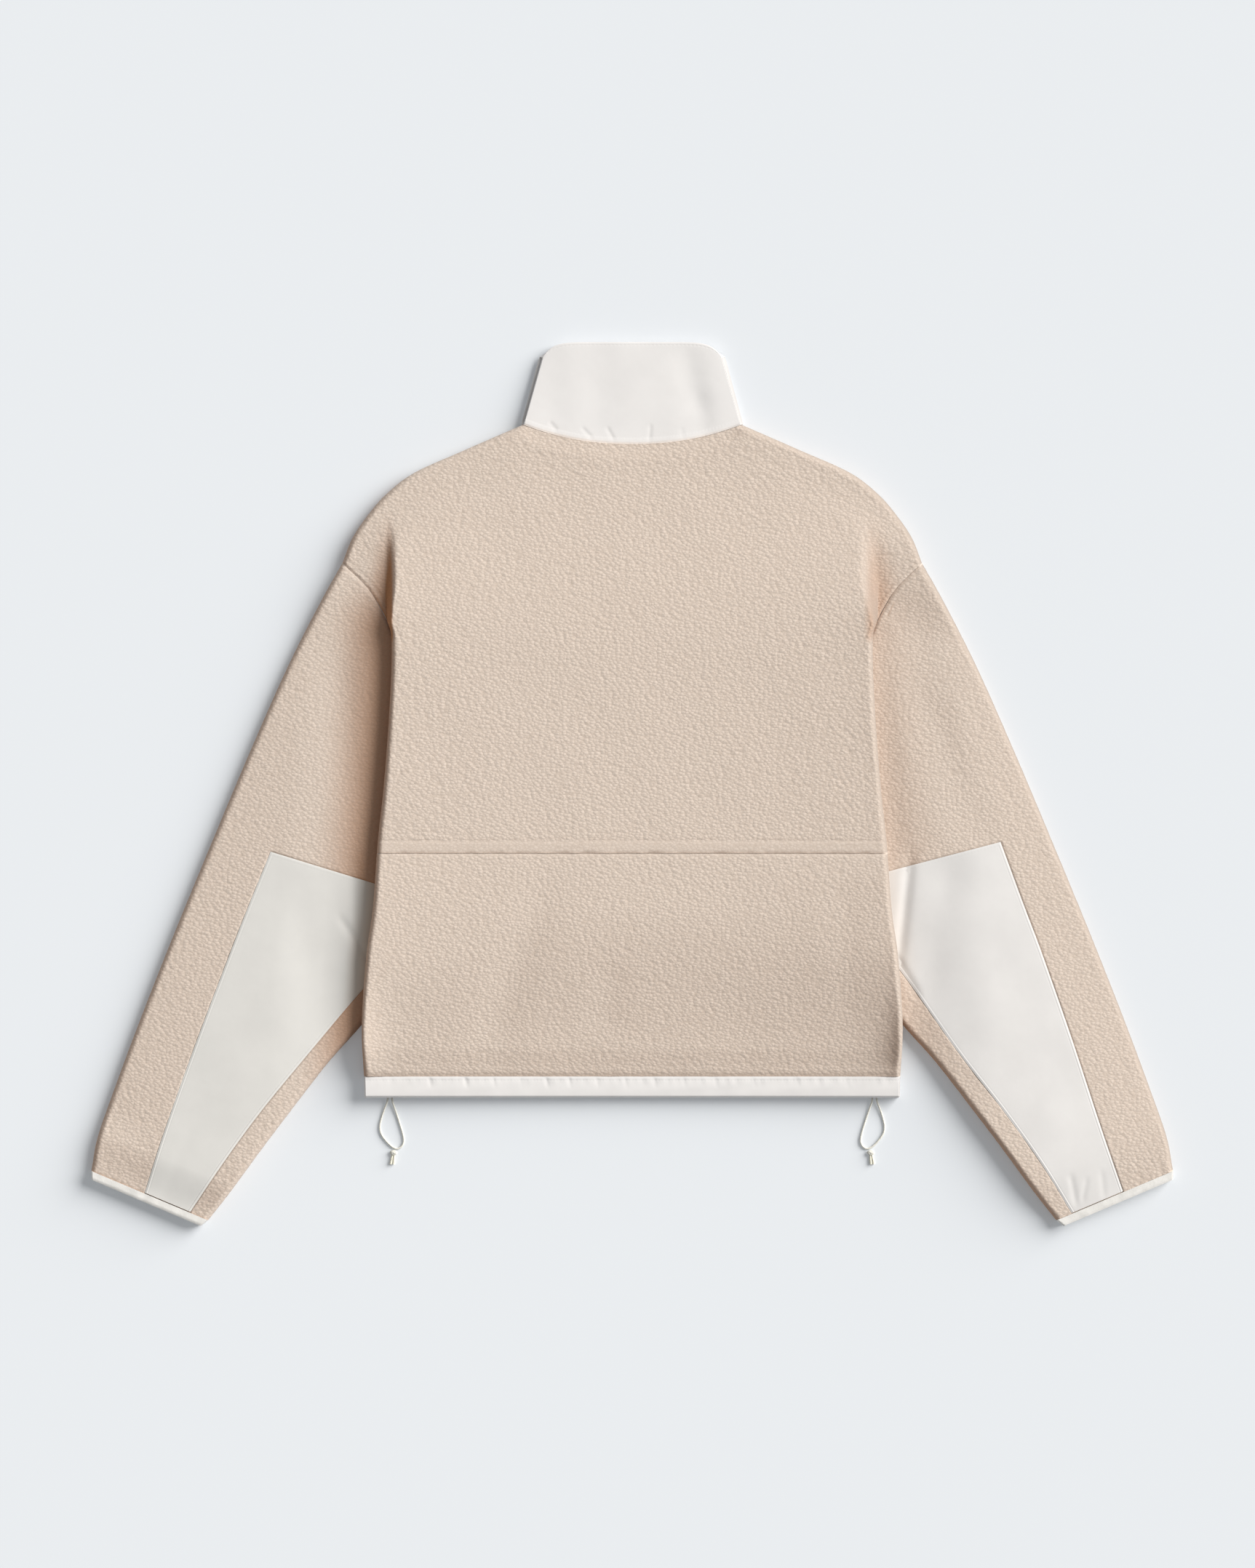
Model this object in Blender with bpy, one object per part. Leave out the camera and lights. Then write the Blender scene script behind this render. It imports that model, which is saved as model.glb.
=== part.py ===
"""A cropped pile-fleece jacket, laid flat on its front so that its back faces up.

X runs across the shoulders, Y from the hem to the collar and Z up from the surface.
The jacket's left side lies at -X. Each cut piece is one closed wall, and the body lies
over the hidden strip of each sleeve, as it does when the arms are laid down.
"""

import math

import bmesh
import bpy
from mathutils import Matrix, Vector

# Driving sizes, in millimetres. MM turns them into metres where a mesh is made.
MM = 0.001
SEAM = 0.3  # gap between pieces that are sewn together
CURVED_SEAM = 0.9  # gap along a curved seam, whose two sides are cut in unlike facets
FLEECE = 5.0  # one layer of pile fleece
BODY_DEPTH = 13.4  # front and back together
HEM_DEPTH = 11.6  # the same, where the hem casing holds them
NECK_DIP = 1.4  # how far the back sinks to the collar seam
SLEEVE_DEPTH = 13.6
SLEEVE_PRESSED = 10.6  # under the body, and close beside it
CUFF_DEPTH_AT_FLEECE = 10.8
EDGE_RADIUS = 9.0  # how far in from a folded edge the wall turns round
ON_THE_EDGE = 0.01  # a place this near a folded edge lies on it
WOVEN = 1.2  # one layer of woven cloth
COLLAR_WALL = 3.0  # woven cloth folded double, with its interlining
COLLAR_DEPTH = (9.9, 7.2)  # both walls, at the neck seam and at the top edge
COLLAR_RADIUS = 5.0
CASING_WALL = 3.0  # the hem casing, folded round its elastic
CASING_DEPTH = 9.4
BINDING_WALL = 2.6
BINDING_DEPTH = 8.8

SEAM_Y = -58.9  # the seam across the back
WELT = 9.6  # the raised seam allowance above it
WELT_RISE = 0.8
HEM_Y = -249.3
HEM_END_Y = -267.5
NECK_X, NECK_Y = 93.6, 306.3  # where the neck seam meets the shoulder
BACK_NECK_Y = 289.9
FRONT_NECK_Y = 229.0
COLLAR_CORNER = (76.9, 363.3)  # where its folded edge ends and the top corner rounds in
COLLAR_TOP_Y = 377.0
PLACKET_HALF = 12.6
FRONT_EDGE_X = PLACKET_HALF + SEAM
BACK_NECK_POWER = 2.2  # how late each neck seam turns up towards the shoulder
FRONT_NECK_POWER = 2.6
COLLAR_CORNER_POWER = 9.5

# How far the cloth takes to settle from one level to the next.
RAMP_LOW, RAMP_HIGH = 50.0, 90.0  # of the body beside a sleeve: at the hem, and higher up
RAMP_SHIFT = 8.0
LIFT_TOP_Y, LIFT_FALL = 170.0, 50.0  # where the sleeve starts to carry the body
PANEL_TOP_Y, PANEL_FALL = -48.0, 40.0  # where the elbow panel starts to add to it
TURN_TOP_Y, TURN_FALL = 180.0, 45.0  # where the armhole seam becomes the body's fold
HEM_EASE, NECK_EASE, CUFF_EASE = 25.0, 16.0, 35.0
PRESSED_BESIDE, SLEEVE_EASE = 8.0, 72.0  # how far a sleeve stays pressed beside the body
COVER_TOP_Y, PRESSED_TOP_Y = 118.0, 129.0

# Rows and columns of the body's grids, the same for the back and the fronts.
NECK_SHARE = 0.36  # of a half panel's columns, how much of the width the neck takes
UPPER_ROWS, LOWER_ROWS = 14, 9
WELT_START = 1.0 - WELT / (BACK_NECK_Y - SEAM_Y)
WELT_STEP = 0.004  # how steeply the welt rises, as a share of the back's length

# Half widths, one row for each height.
SHOULDER = (
    # x, y
    (93.6, 306.3),
    (144.8, 284.0),
    (186.0, 265.4),
    (210.2, 246.8),
    (226.3, 228.2),
    (238.7, 209.6),
    (247.1, 188.5),
)
SIDE = (
    # x, y: the visible armhole, then the folded edge of the body
    (247.1, 188.5),
    (224.1, 165.5),
    (208.3, 137.6),
    (204.8, 118.0),
    (206.5, 67.0),
    (211.4, 0.0),
    (216.6, -49.0),
    (220.7, -105.4),
    (226.3, -146.3),
    (230.2, -203.4),
    (228.6, HEM_Y),
)
HIDDEN_ARMHOLE = (
    # x, y: from where the body's edge covers it down to the armpit
    (247.1, 188.5),
    (224.1, 165.5),
    (208.3, 137.6),
    (205.2, 129.0),
    (186.0, 79.4),
    (167.4, 17.4),
    (160.0, -49.0),
)
SLEEVE_OUTER = (
    # x, y: the top fold of the sleeve
    (247.1, 188.5),
    (266.6, 153.8),
    (294.8, 98.0),
    (327.7, 23.6),
    (359.0, -50.8),
    (389.7, -125.2),
    (419.1, -199.6),
    (439.9, -255.4),
    (455.5, -300.0),
    (461.3, -329.8),
)
SLEEVE_INNER = (
    # x, y: the underarm fold, hidden by the body down to y = -204
    (160.0, -49.0),
    (162.4, -88.0),
    (177.9, -131.4),
    (203.4, -169.9),
    (229.4, -204.0),
    (258.5, -236.8),
    (287.4, -274.0),
    (315.6, -311.2),
    (342.9, -348.4),
    (361.5, -372.0),
)
CUFF_OUTER = (461.3, -337.3)
CUFF_INNER = (367.7, -377.0)
PATCH_OUTER = (
    # x, y: the long outer edge of the elbow panel
    (308.1, -57.7),
    (328.0, -106.6),
    (342.5, -143.8),
    (370.8, -218.2),
    (397.4, -292.6),
    (414.0, -344.0),
)
PATCH_INNER = (
    # x, y: its top inner corner, the underarm, and the inner edge down to the cuff
    (174.0, -99.0),
    (196.0, -143.0),
    (228.2, -173.6),
    (275.0, -228.8),
    (316.2, -279.0),
    (348.4, -323.0),
    (374.0, -361.0),
)
FOLDS = (
    # x1, y1, x2, y2, width, depth: soft troughs in the lower back
    (-80.0, -100.0, -117.0, -212.0, 17.0, 1.6),
    (-18.0, -162.0, -24.0, -205.0, 14.0, 1.2),
    (178.0, -95.0, 184.0, -160.0, 12.0, 1.2),
    (184.0, -150.0, 206.0, -205.0, 11.0, 1.2),
)

FOLD_REACH = 0.35  # how far a trough fades beyond each of its ends, as a share of its length

CORD_RADIUS = 1.0
CORD_REST = CORD_RADIUS + 0.1
CORD_LEVEL = 2.3  # the height at which a cord leaves the hem casing
CORD_ROUTE = (
    # x, y, z of the loop under the hem, from its outer strand round to its inner one
    (-208.4, -267.9, CORD_LEVEL),
    (-209.3, -272.0, 2.0),
    (-211.4, -277.5, 1.4),
    (-213.6, -284.0, CORD_REST),
    (-215.1, -290.0, CORD_REST),
    (-215.3, -295.0, CORD_REST),
    (-213.6, -300.0, CORD_REST),
    (-210.2, -304.6, CORD_REST),
    (-206.6, -308.4, CORD_REST),
    (-203.0, -310.9, CORD_REST),
    (-199.3, -311.3, CORD_REST),
    (-196.3, -308.8, CORD_REST),
    (-194.9, -304.8, CORD_REST),
    (-195.6, -299.6, CORD_REST),
    (-197.4, -293.2, CORD_REST),
    (-199.8, -285.6, CORD_REST),
    (-202.4, -277.8, 1.4),
    (-204.4, -272.0, 2.0),
    (-205.0, -267.9, CORD_LEVEL),
)
CORD_POINTS = 26  # of the tube, spaced evenly along the route
KNOT_PLACE = (-203.6, -314.7)
KNOT_SIZE = (6.2, 4.6, 3.4)
KNOT_LEVEL = 0.1
TAIL_LEVEL = 0.6
TAIL_NECK = 0.45  # the tail's width in the knot, as a share of its width at the end
TAIL_END = (-204.9, -324.2)
TAIL_WIDTH = 4.4
TAIL_THICKNESS = 1.6

STUDS = 6
STUD_TOP_Y = 301.0
STUD_PITCH = 108.0
STUD_RADIUS = 6.0
STUD_RIM = 4.9
STUD_HEIGHT = 1.0
STUD_LEVEL = 0.3
PLACKET_LEVEL = 1.6  # the outer placket's face, above the surface
FRONT_TOP_Y = 316.0

COLOURS = {
    # name: red, green, blue (linear), roughness
    "fleece": (0.68, 0.57, 0.47, 0.95),
    "woven": (0.80, 0.77, 0.74, 0.62),
    "binding": (0.80, 0.77, 0.70, 0.7),
    "cord": (0.80, 0.77, 0.66, 0.7),
    "stud": (0.72, 0.70, 0.66, 0.35),
}


def clear_scene():
    for thing in list(bpy.data.objects):
        bpy.data.objects.remove(thing, do_unlink=True)


def material(name):
    """One plain surface for each cloth."""
    known = bpy.data.materials.get(name)
    if known:
        return known
    made = bpy.data.materials.new(name)
    made.use_nodes = True
    shader = made.node_tree.nodes["Principled BSDF"]
    red, green, blue, roughness = COLOURS[name]
    shader.inputs["Base Color"].default_value = (red, green, blue, 1.0)
    shader.inputs["Roughness"].default_value = roughness
    shader.inputs["Metallic"].default_value = 0.0
    return made


def settle(x):
    """An S curve from 0 at x = 0 to 1 at x = 1."""
    x = min(1.0, max(0.0, x))
    return x * x * (3.0 - 2.0 * x)


def between(a, b, share):
    return a + (b - a) * share


def rounded(rows, steps):
    """A smooth curve through the rows, with even steps from each to the next."""
    ends = [rows[0] * 2 - rows[1]] + rows + [rows[-1] * 2 - rows[-2]]
    found = []
    for a, b, c, d in zip(ends, ends[1:], ends[2:], ends[3:]):
        for step in range(steps):
            t = step / steps
            bend = (a * 2 - b * 5 + c * 4 - d) * t + (b * 3 - a - c * 3 + d) * t * t
            found.append(b + (c - a + bend) * (t / 2))
    return found + [rows[-1]]


class Line:
    """A line through a table's rows, read by its share of length."""

    def __init__(self, rows, smooth=True):
        rows = [Vector(row) for row in rows]
        self.points = rounded(rows, 8) if smooth else rows
        self.reach = [0.0]
        for a, b in zip(self.points, self.points[1:]):
            self.reach.append(self.reach[-1] + (b - a).length)

    def at(self, share):
        goal = min(1.0, max(0.0, share)) * self.reach[-1]
        for i in range(1, len(self.reach)):
            if self.reach[i] >= goal or i == len(self.reach) - 1:
                span = self.reach[i] - self.reach[i - 1]
                part = (goal - self.reach[i - 1]) / span if span else 0.0
                return self.points[i - 1].lerp(self.points[i], part)

    def x_at(self, y):
        """The half width at a height, for a line that falls all the way."""
        if y >= self.points[0].y:
            return self.points[0].x
        for a, b in zip(self.points, self.points[1:]):
            if b.y <= y <= a.y:
                return between(a.x, b.x, (a.y - y) / max(1e-6, a.y - b.y))
        return self.points[-1].x

    def nearest(self, place):
        """Distance from the line, and the direction to its right going down it."""
        best, found = 1e9, None
        for a, b in zip(self.points, self.points[1:]):
            run = b - a
            part = min(1.0, max(0.0, (place - a).dot(run) / run.length_squared))
            away = (place - a - run * part).length
            if away < best:
                best, found = away, run.normalized()
        return best, Vector((found.y, -found.x))


shoulder = Line(SHOULDER)
side = Line(SIDE)
armhole = Line(HIDDEN_ARMHOLE)

# The sleeve's edges start clear of the armhole, by the gap of a curved seam.
OFF_ARMHOLE = Vector((0.8, -0.4)) * CURVED_SEAM
sleeve_outer = Line([Vector(SLEEVE_OUTER[0]) + OFF_ARMHOLE, *SLEEVE_OUTER[1:]])
sleeve_inner = Line([Vector(SLEEVE_INNER[0]) + OFF_ARMHOLE, *SLEEVE_INNER[1:]])
sleeve_covered = Line(HIDDEN_ARMHOLE[:-1] + SLEEVE_INNER)


def mirrored(place, sign):
    return Vector((place.x * sign, place.y))


def four_sided(top, bottom, left, right):
    """Places inside four edges: u runs from left to right, v from top to bottom."""

    def place(u, v):
        across = top(u) * (1 - v) + bottom(u) * v
        down = left(v) * (1 - u) + right(v) * u
        corners = (top(0) * (1 - u) + top(1) * u) * (1 - v)
        corners += (bottom(0) * (1 - u) + bottom(1) * u) * v
        return across + down - corners

    return place


def turned_edge(place, rims, wall, radius=EDGE_RADIUS):
    """How far a wall has turned down at a folded edge, from 0 to 1, and the way in.

    rims holds pairs of a line and how fully its edge is turned, from 0 to 1.
    """
    drop, inward = 0.0, Vector((0.0, 0.0))
    for line, fullness in rims:
        away, direction = line.nearest(place)
        if away >= radius or fullness <= 0:
            continue
        level = 1.0 - (away if away > ON_THE_EDGE else 0.0) / radius
        drop = max(drop, fullness * (1.0 - math.sqrt(1.0 - level * level)))
        inward += direction * (wall * fullness * level)
    return drop, inward


def body_lift(place):
    """How high the body is carried by the sleeve that lies under it."""
    x, y = abs(place.x), place.y
    ramp = between(RAMP_LOW, RAMP_HIGH, settle((y - HEM_Y) / 110.0))
    risen = settle((x - sleeve_covered.x_at(y) + RAMP_SHIFT) / ramp + 1.0)
    begun = settle((LIFT_TOP_Y - y) / LIFT_FALL)
    panel = (WOVEN + SEAM) * settle((PANEL_TOP_Y - y) / PANEL_FALL)
    return (SLEEVE_PRESSED + SEAM + panel) * risen * begun


def body_depth(place):
    """Front and back together: thinner at the hem and at the collar seam."""
    x = abs(place.x)
    hem = settle((HEM_Y - place.y) / HEM_EASE + 1.0)
    neck_y = back_neck_y(min(1.0, x / NECK_X))
    neck = settle((place.y - neck_y) / NECK_EASE + 1.0) * settle((NECK_X - x) / NECK_EASE + 0.4)
    return BODY_DEPTH - (BODY_DEPTH - HEM_DEPTH) * hem - NECK_DIP * neck


def trough(place):
    """The soft folds of the lower back."""
    depth = 0.0
    for x1, y1, x2, y2, width, deep in FOLDS:
        start, run = Vector((x1, y1)), Vector((x2 - x1, y2 - y1))
        along = (place - start).dot(run) / run.length_squared
        off = (place - start - run * along).length
        ends = settle(min(along + FOLD_REACH, 1.0 + FOLD_REACH - along) / 0.5)
        depth += deep * ends * math.exp(-((off / width) ** 2))
    return depth


def side_fullness(y):
    """The armhole lies flat at the shoulder and turns under where the body folds."""
    return settle((TURN_TOP_Y - y) / TURN_FALL)


def body_rims(y):
    return ((shoulder, 1.0), (side, side_fullness(y)))


def back_surfaces(place, rise=0.0):
    """The back's outer and inner points over one place of the plan."""
    sign = -1.0 if place.x < 0 else 1.0
    own = mirrored(place, sign)
    drop, inward = turned_edge(own, body_rims(own.y), FLEECE)
    top = body_lift(own) + body_depth(own) - trough(place)
    half = (body_depth(own) - CURVED_SEAM) / 2
    inner = mirrored(own + inward, sign)
    return (
        (place.x, place.y, top - half * drop + rise),
        (inner.x, inner.y, top - FLEECE - (half - FLEECE) * drop),
    )


def front_surfaces(place):
    """The front's outer points, on the surface below, and its inner ones."""
    sign = -1.0 if place.x < 0 else 1.0
    own = mirrored(place, sign)
    drop, inward = turned_edge(own, body_rims(own.y), FLEECE)
    low = body_lift(own)
    half = (body_depth(own) - CURVED_SEAM) / 2
    inner = mirrored(own + inward, sign)
    return (
        (place.x, place.y, low + half * drop),
        (inner.x, inner.y, low + FLEECE + (half - FLEECE) * drop),
    )


def sleeve_depth(place):
    """Both layers of a sleeve: pressed beside the body, fuller away from it."""
    x, y = abs(place.x), place.y
    edge = side.x_at(max(HEM_Y, min(COVER_TOP_Y, y)))
    beyond = max(0.0, y - PRESSED_TOP_Y) + max(0.0, HEM_END_Y - y)
    away = math.hypot(max(0.0, x - edge), beyond)
    full = between(SLEEVE_PRESSED, SLEEVE_DEPTH, settle((away - PRESSED_BESIDE) / SLEEVE_EASE))
    end_a, end_b = Vector(SLEEVE_OUTER[-1]), Vector(SLEEVE_INNER[-1])
    run = (end_b - end_a).normalized()
    from_cuff = (Vector((x, y)) - end_a).dot(Vector((-run.y, run.x)))
    held = settle(1.0 - abs(from_cuff) / CUFF_EASE)
    return between(full, CUFF_DEPTH_AT_FLEECE, held)


def solid_sheet(name, cloth, columns, rows, surfaces, ring=False):
    """A closed wall from one flat grid: its outer points, its inner ones and its rim.

    surfaces(u, v) gives the outer and the inner point, with u and v from 0 to 1.
    A ring closes on itself from u = 1 back to u = 0.
    """
    mesh = bmesh.new()
    bmesh.ops.create_grid(mesh, x_segments=columns, y_segments=rows, size=0.5)
    grown = bmesh.ops.extrude_face_region(mesh, geom=mesh.faces[:])
    inner = {part for part in grown["geom"] if isinstance(part, bmesh.types.BMVert)}
    if ring:
        cut = [
            face
            for face in mesh.faces
            if abs(sum(v.co.x for v in face.verts) / len(face.verts)) > 0.4999
        ]
        bmesh.ops.delete(mesh, geom=cut, context="FACES")
    for point in mesh.verts:
        places = surfaces(point.co.x + 0.5, point.co.y + 0.5)
        point.co = Vector(places[point in inner]) * MM
    if ring:
        bmesh.ops.remove_doubles(mesh, verts=mesh.verts, dist=1e-6)
    return finished(name, cloth, mesh)


def finished(name, cloth, mesh):
    bmesh.ops.recalc_face_normals(mesh, faces=mesh.faces)
    data = bpy.data.meshes.new(name)
    mesh.to_mesh(data)
    mesh.free()
    data.shade_smooth()
    data.set_sharp_from_angle(angle=math.radians(50))
    data.materials.append(material(cloth))
    made = bpy.data.objects.new(name, data)
    bpy.context.scene.collection.objects.link(made)
    return made


def back_neck_y(share):
    return between(BACK_NECK_Y, NECK_Y, share**BACK_NECK_POWER)


def front_neck_y(share):
    return between(FRONT_NECK_Y, NECK_Y, share**FRONT_NECK_POWER)


def neck_line(inner_x, height):
    """The neck seam from the middle of the body out to the shoulder."""
    rows = []
    for step in range(25):
        x = between(inner_x, NECK_X, step / 24)
        rows.append((x, height(x / NECK_X)))
    return Line(rows, smooth=False)


def half_panel(neck, inner_x, seam_y):
    """Half of a body panel from the neck and shoulder down to a straight seam."""
    seam_x = side.x_at(seam_y)
    edge = Line([p for p in side.points if p.y > seam_y] + [Vector((seam_x, seam_y))], False)
    top_y = neck.points[0].y

    def top(u):
        if u < NECK_SHARE:
            return neck.at(u / NECK_SHARE)
        return shoulder.at((u - NECK_SHARE) / (1 - NECK_SHARE))

    return four_sided(
        top,
        lambda u: Vector((between(inner_x, seam_x, u), seam_y)),
        lambda v: Vector((inner_x, between(top_y, seam_y, v))),
        edge.at,
    )


def half_columns(index, neck_columns, shoulder_columns):
    """Even columns under the neck, then closer ones towards the folded edge."""
    if index <= neck_columns:
        return NECK_SHARE * index / neck_columns
    share = (index - neck_columns) / shoulder_columns
    return between(NECK_SHARE, 1.0, math.sin(math.pi / 2 * share))


def near_start(share):
    """Rows that are close together at the shoulder and wider lower down."""
    return 1.0 - math.cos(math.pi / 2 * share)


def upper_share(index):
    """Rows from the shoulder down to the welt, the same for the back and the fronts."""
    return WELT_START * near_start(index / UPPER_ROWS)


def make_back():
    neck_columns, shoulder_columns = 5, 9
    half = neck_columns + shoulder_columns
    rows = UPPER_ROWS + 2
    upper = half_panel(neck_line(0.0, back_neck_y), 0.0, SEAM_Y + SEAM / 2)

    def across(u):
        index = round(abs(u - 0.5) * 2 * half)
        return half_columns(index, neck_columns, shoulder_columns), -1.0 if u < 0.5 else 1.0

    def upper_surfaces(u, v):
        share, sign = across(u)
        index = round((1.0 - v) * rows)
        if index <= UPPER_ROWS:
            down, rise = upper_share(index), 0.0
        else:
            down = WELT_START + WELT_STEP if index < rows else 1.0
            rise = WELT_RISE
        return back_surfaces(mirrored(upper(share, down), sign), rise)

    solid_sheet("back_upper", "fleece", 2 * half, rows, upper_surfaces)

    def lower_surfaces(u, v):
        share, sign = across(u)
        y = between(HEM_Y + SEAM / 2, SEAM_Y - SEAM / 2, v)
        return back_surfaces(Vector((side.x_at(y) * share * sign, y)))

    solid_sheet("back_lower", "fleece", 2 * half, LOWER_ROWS, lower_surfaces)


def make_fronts():
    neck_columns, shoulder_columns = 6, 7
    columns = neck_columns + shoulder_columns
    rows = UPPER_ROWS + 1 + LOWER_ROWS
    upper = half_panel(neck_line(FRONT_EDGE_X, front_neck_y), FRONT_EDGE_X, SEAM_Y)
    for name, sign in (("left", -1.0), ("right", 1.0)):

        def surfaces(u, v, sign=sign):
            share = half_columns(round(u * columns), neck_columns, shoulder_columns)
            index = round((1.0 - v) * rows)
            if index <= UPPER_ROWS:
                place = upper(share, upper_share(index))
            else:
                y = between(SEAM_Y, HEM_Y + SEAM / 2, (index - UPPER_ROWS - 1) / LOWER_ROWS)
                place = Vector((between(FRONT_EDGE_X, side.x_at(y), share), y))
            return front_surfaces(mirrored(place, sign))

        solid_sheet(f"front_{name}", "fleece", columns, rows, surfaces)


def ring_place(u):
    """Share across a flattened ring, from its outer fold to its inner one, and its layer."""
    top = u <= 0.5
    share = u * 2 if top else 2 - u * 2
    return 0.5 - 0.5 * math.cos(math.pi * share), top


def ring_surfaces(place, top, depth, wall, rims, radius, along=None):
    """Outer and inner points of a flattened tube that lies on the surface.

    Where the tube is cut off at a slant, along is the direction of that cut.
    """
    drop, inward = turned_edge(place, rims, wall, radius)
    if along:
        inward = along * inward.dot(along)
    inner = place + inward
    outer_z = depth / 2 * drop
    inner_z = wall + (depth / 2 - wall) * drop
    if top:
        outer_z, inner_z = depth - outer_z, depth - inner_z
    return (place.x, place.y, outer_z), (inner.x, inner.y, inner_z)


def sleeve_plan():
    """Places of a sleeve: u from its outer fold to its inner one, v from armhole to cuff."""
    cuff_a, cuff_b = Vector(SLEEVE_OUTER[-1]), Vector(SLEEVE_INNER[-1])
    return four_sided(
        lambda u: armhole.at(u) + OFF_ARMHOLE,
        lambda u: cuff_a.lerp(cuff_b, u),
        sleeve_outer.at,
        sleeve_inner.at,
    )


class Flipped:
    """A line read from the other side, so that its inward direction turns round."""

    def __init__(self, line):
        self.line = line

    def nearest(self, place):
        away, direction = self.line.nearest(place)
        return away, -direction


def make_sleeves():
    plan = sleeve_plan()
    rims = ((sleeve_outer, 1.0), (Flipped(sleeve_inner), 1.0))
    for name, sign in (("left", -1.0), ("right", 1.0)):

        def surfaces(u, v, sign=sign):
            share, top = ring_place(u)
            place = plan(share, 1.0 - v)
            pair = ring_surfaces(place, top, sleeve_depth(place), FLEECE, rims, EDGE_RADIUS)
            return tuple((x * sign, y, z) for x, y, z in pair)

        solid_sheet(f"sleeve_{name}", "fleece", 24, 22, surfaces, ring=True)


def make_elbow_panels():
    outer, inner = Line(PATCH_OUTER), Line(PATCH_INNER)
    plan = four_sided(
        lambda u: outer.at(0).lerp(inner.at(0), u),
        lambda u: outer.at(1).lerp(inner.at(1), u),
        outer.at,
        inner.at,
    )
    for name, sign in (("left", -1.0), ("right", 1.0)):

        def surfaces(u, v, sign=sign):
            place = plan(u, 1.0 - v)
            low = sleeve_depth(place) + SEAM
            x = place.x * sign
            return (x, place.y, low + WOVEN), (x, place.y, low)

        solid_sheet(f"elbow_panel_{name}", "woven", 10, 24, surfaces)


def make_cuffs():
    start_a, start_b = Vector(SLEEVE_OUTER[-1]), Vector(SLEEVE_INNER[-1])
    end_a, end_b = Vector(CUFF_OUTER), Vector(CUFF_INNER)
    along = (start_b - start_a).normalized()
    down = Vector((-along.y, along.x))
    start_a, start_b = start_a + down * SEAM, start_b + down * SEAM
    rims = ((Line((start_a, end_a), False), 1.0), (Flipped(Line((start_b, end_b), False)), 1.0))
    for name, sign in (("left", -1.0), ("right", 1.0)):

        def surfaces(u, v, sign=sign):
            share, top = ring_place(u)
            place = start_a.lerp(end_a, 1 - v).lerp(start_b.lerp(end_b, 1 - v), share)
            pair = ring_surfaces(
                place, top, BINDING_DEPTH, BINDING_WALL, rims, EDGE_RADIUS / 2, along
            )
            return tuple((x * sign, y, z) for x, y, z in pair)

        solid_sheet(f"cuff_{name}", "binding", 24, 3, surfaces, ring=True)


def open_ring(u, columns):
    """Round an open ring from one front edge to the other: share out from the middle,
    side and layer."""
    middle = columns // 2
    index = round(u * columns) - middle
    share = abs(index) / middle
    back = share <= 0.5
    out = share * 2 if back else 2 - share * 2
    return math.sin(math.pi / 2 * out), (-1.0 if index < 0 else 1.0), back


def make_hem_casing():
    columns, rows = 48, 3
    edge = Line([(side.x_at(HEM_Y), HEM_Y), (side.x_at(HEM_Y) - 0.4, HEM_END_Y)], False)

    def surfaces(u, v):
        share, sign, back = open_ring(u, columns)
        y = between(HEM_END_Y, HEM_Y - SEAM / 2, v)
        inner_x = 0.0 if back else FRONT_EDGE_X
        place = Vector((between(inner_x, edge.x_at(y), share), y))
        rims = ((edge, 1.0),)
        pair = ring_surfaces(place, back, CASING_DEPTH, CASING_WALL, rims, EDGE_RADIUS * 0.7)
        lift = body_lift(Vector((place.x, HEM_Y - 10.0)))
        return tuple((x * sign, y, z + lift) for x, y, z in pair)

    solid_sheet("hem_casing", "woven", columns, rows, surfaces)


def collar_top_y(share):
    """The back top edge is straight, with a rounded corner at each end."""
    return between(COLLAR_CORNER[1], COLLAR_TOP_Y, 1.0 - share**COLLAR_CORNER_POWER)


def make_collar():
    columns, rows = 44, 6
    base_x = NECK_X - CURVED_SEAM
    fold = Line(((base_x, NECK_Y + CURVED_SEAM), COLLAR_CORNER), False)
    corner_x, corner_y = COLLAR_CORNER

    def surfaces(u, v):
        share, sign, back = open_ring(u, columns)
        if back:
            low = Vector((base_x * share, back_neck_y(share)))
            high = Vector((corner_x * share, collar_top_y(share)))
        else:
            x = between(FRONT_EDGE_X, base_x, share)
            low = Vector((x - CURVED_SEAM * settle(share * 3) * (1 - share), 0.0))
            low.y = front_neck_y(x / base_x)
            x = between(FRONT_EDGE_X, corner_x, share)
            rise = (x / corner_x) ** BACK_NECK_POWER
            high = Vector((x, between(FRONT_TOP_Y, corner_y, rise)))
        low.y += CURVED_SEAM
        place = low.lerp(high, v)
        depth = between(*COLLAR_DEPTH, v)
        pair = ring_surfaces(place, back, depth, COLLAR_WALL, ((fold, 1.0),), COLLAR_RADIUS)
        return tuple((x * sign, y, z) for x, y, z in pair)

    solid_sheet("collar", "woven", columns, rows, surfaces)


def make_plackets():
    """Two strips down the front, one over the other, held by press studs."""
    levels = (("placket_outer", PLACKET_LEVEL), ("placket_inner", PLACKET_LEVEL + WOVEN + SEAM))
    for name, level in levels:

        def surfaces(u, v, level=level):
            x = between(-PLACKET_HALF, PLACKET_HALF, u)
            y = between(HEM_END_Y + 1.0, FRONT_TOP_Y - 1.0, v)
            return (x, y, level + WOVEN), (x, y, level)

        solid_sheet(name, "woven", 2, 12, surfaces)


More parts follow.
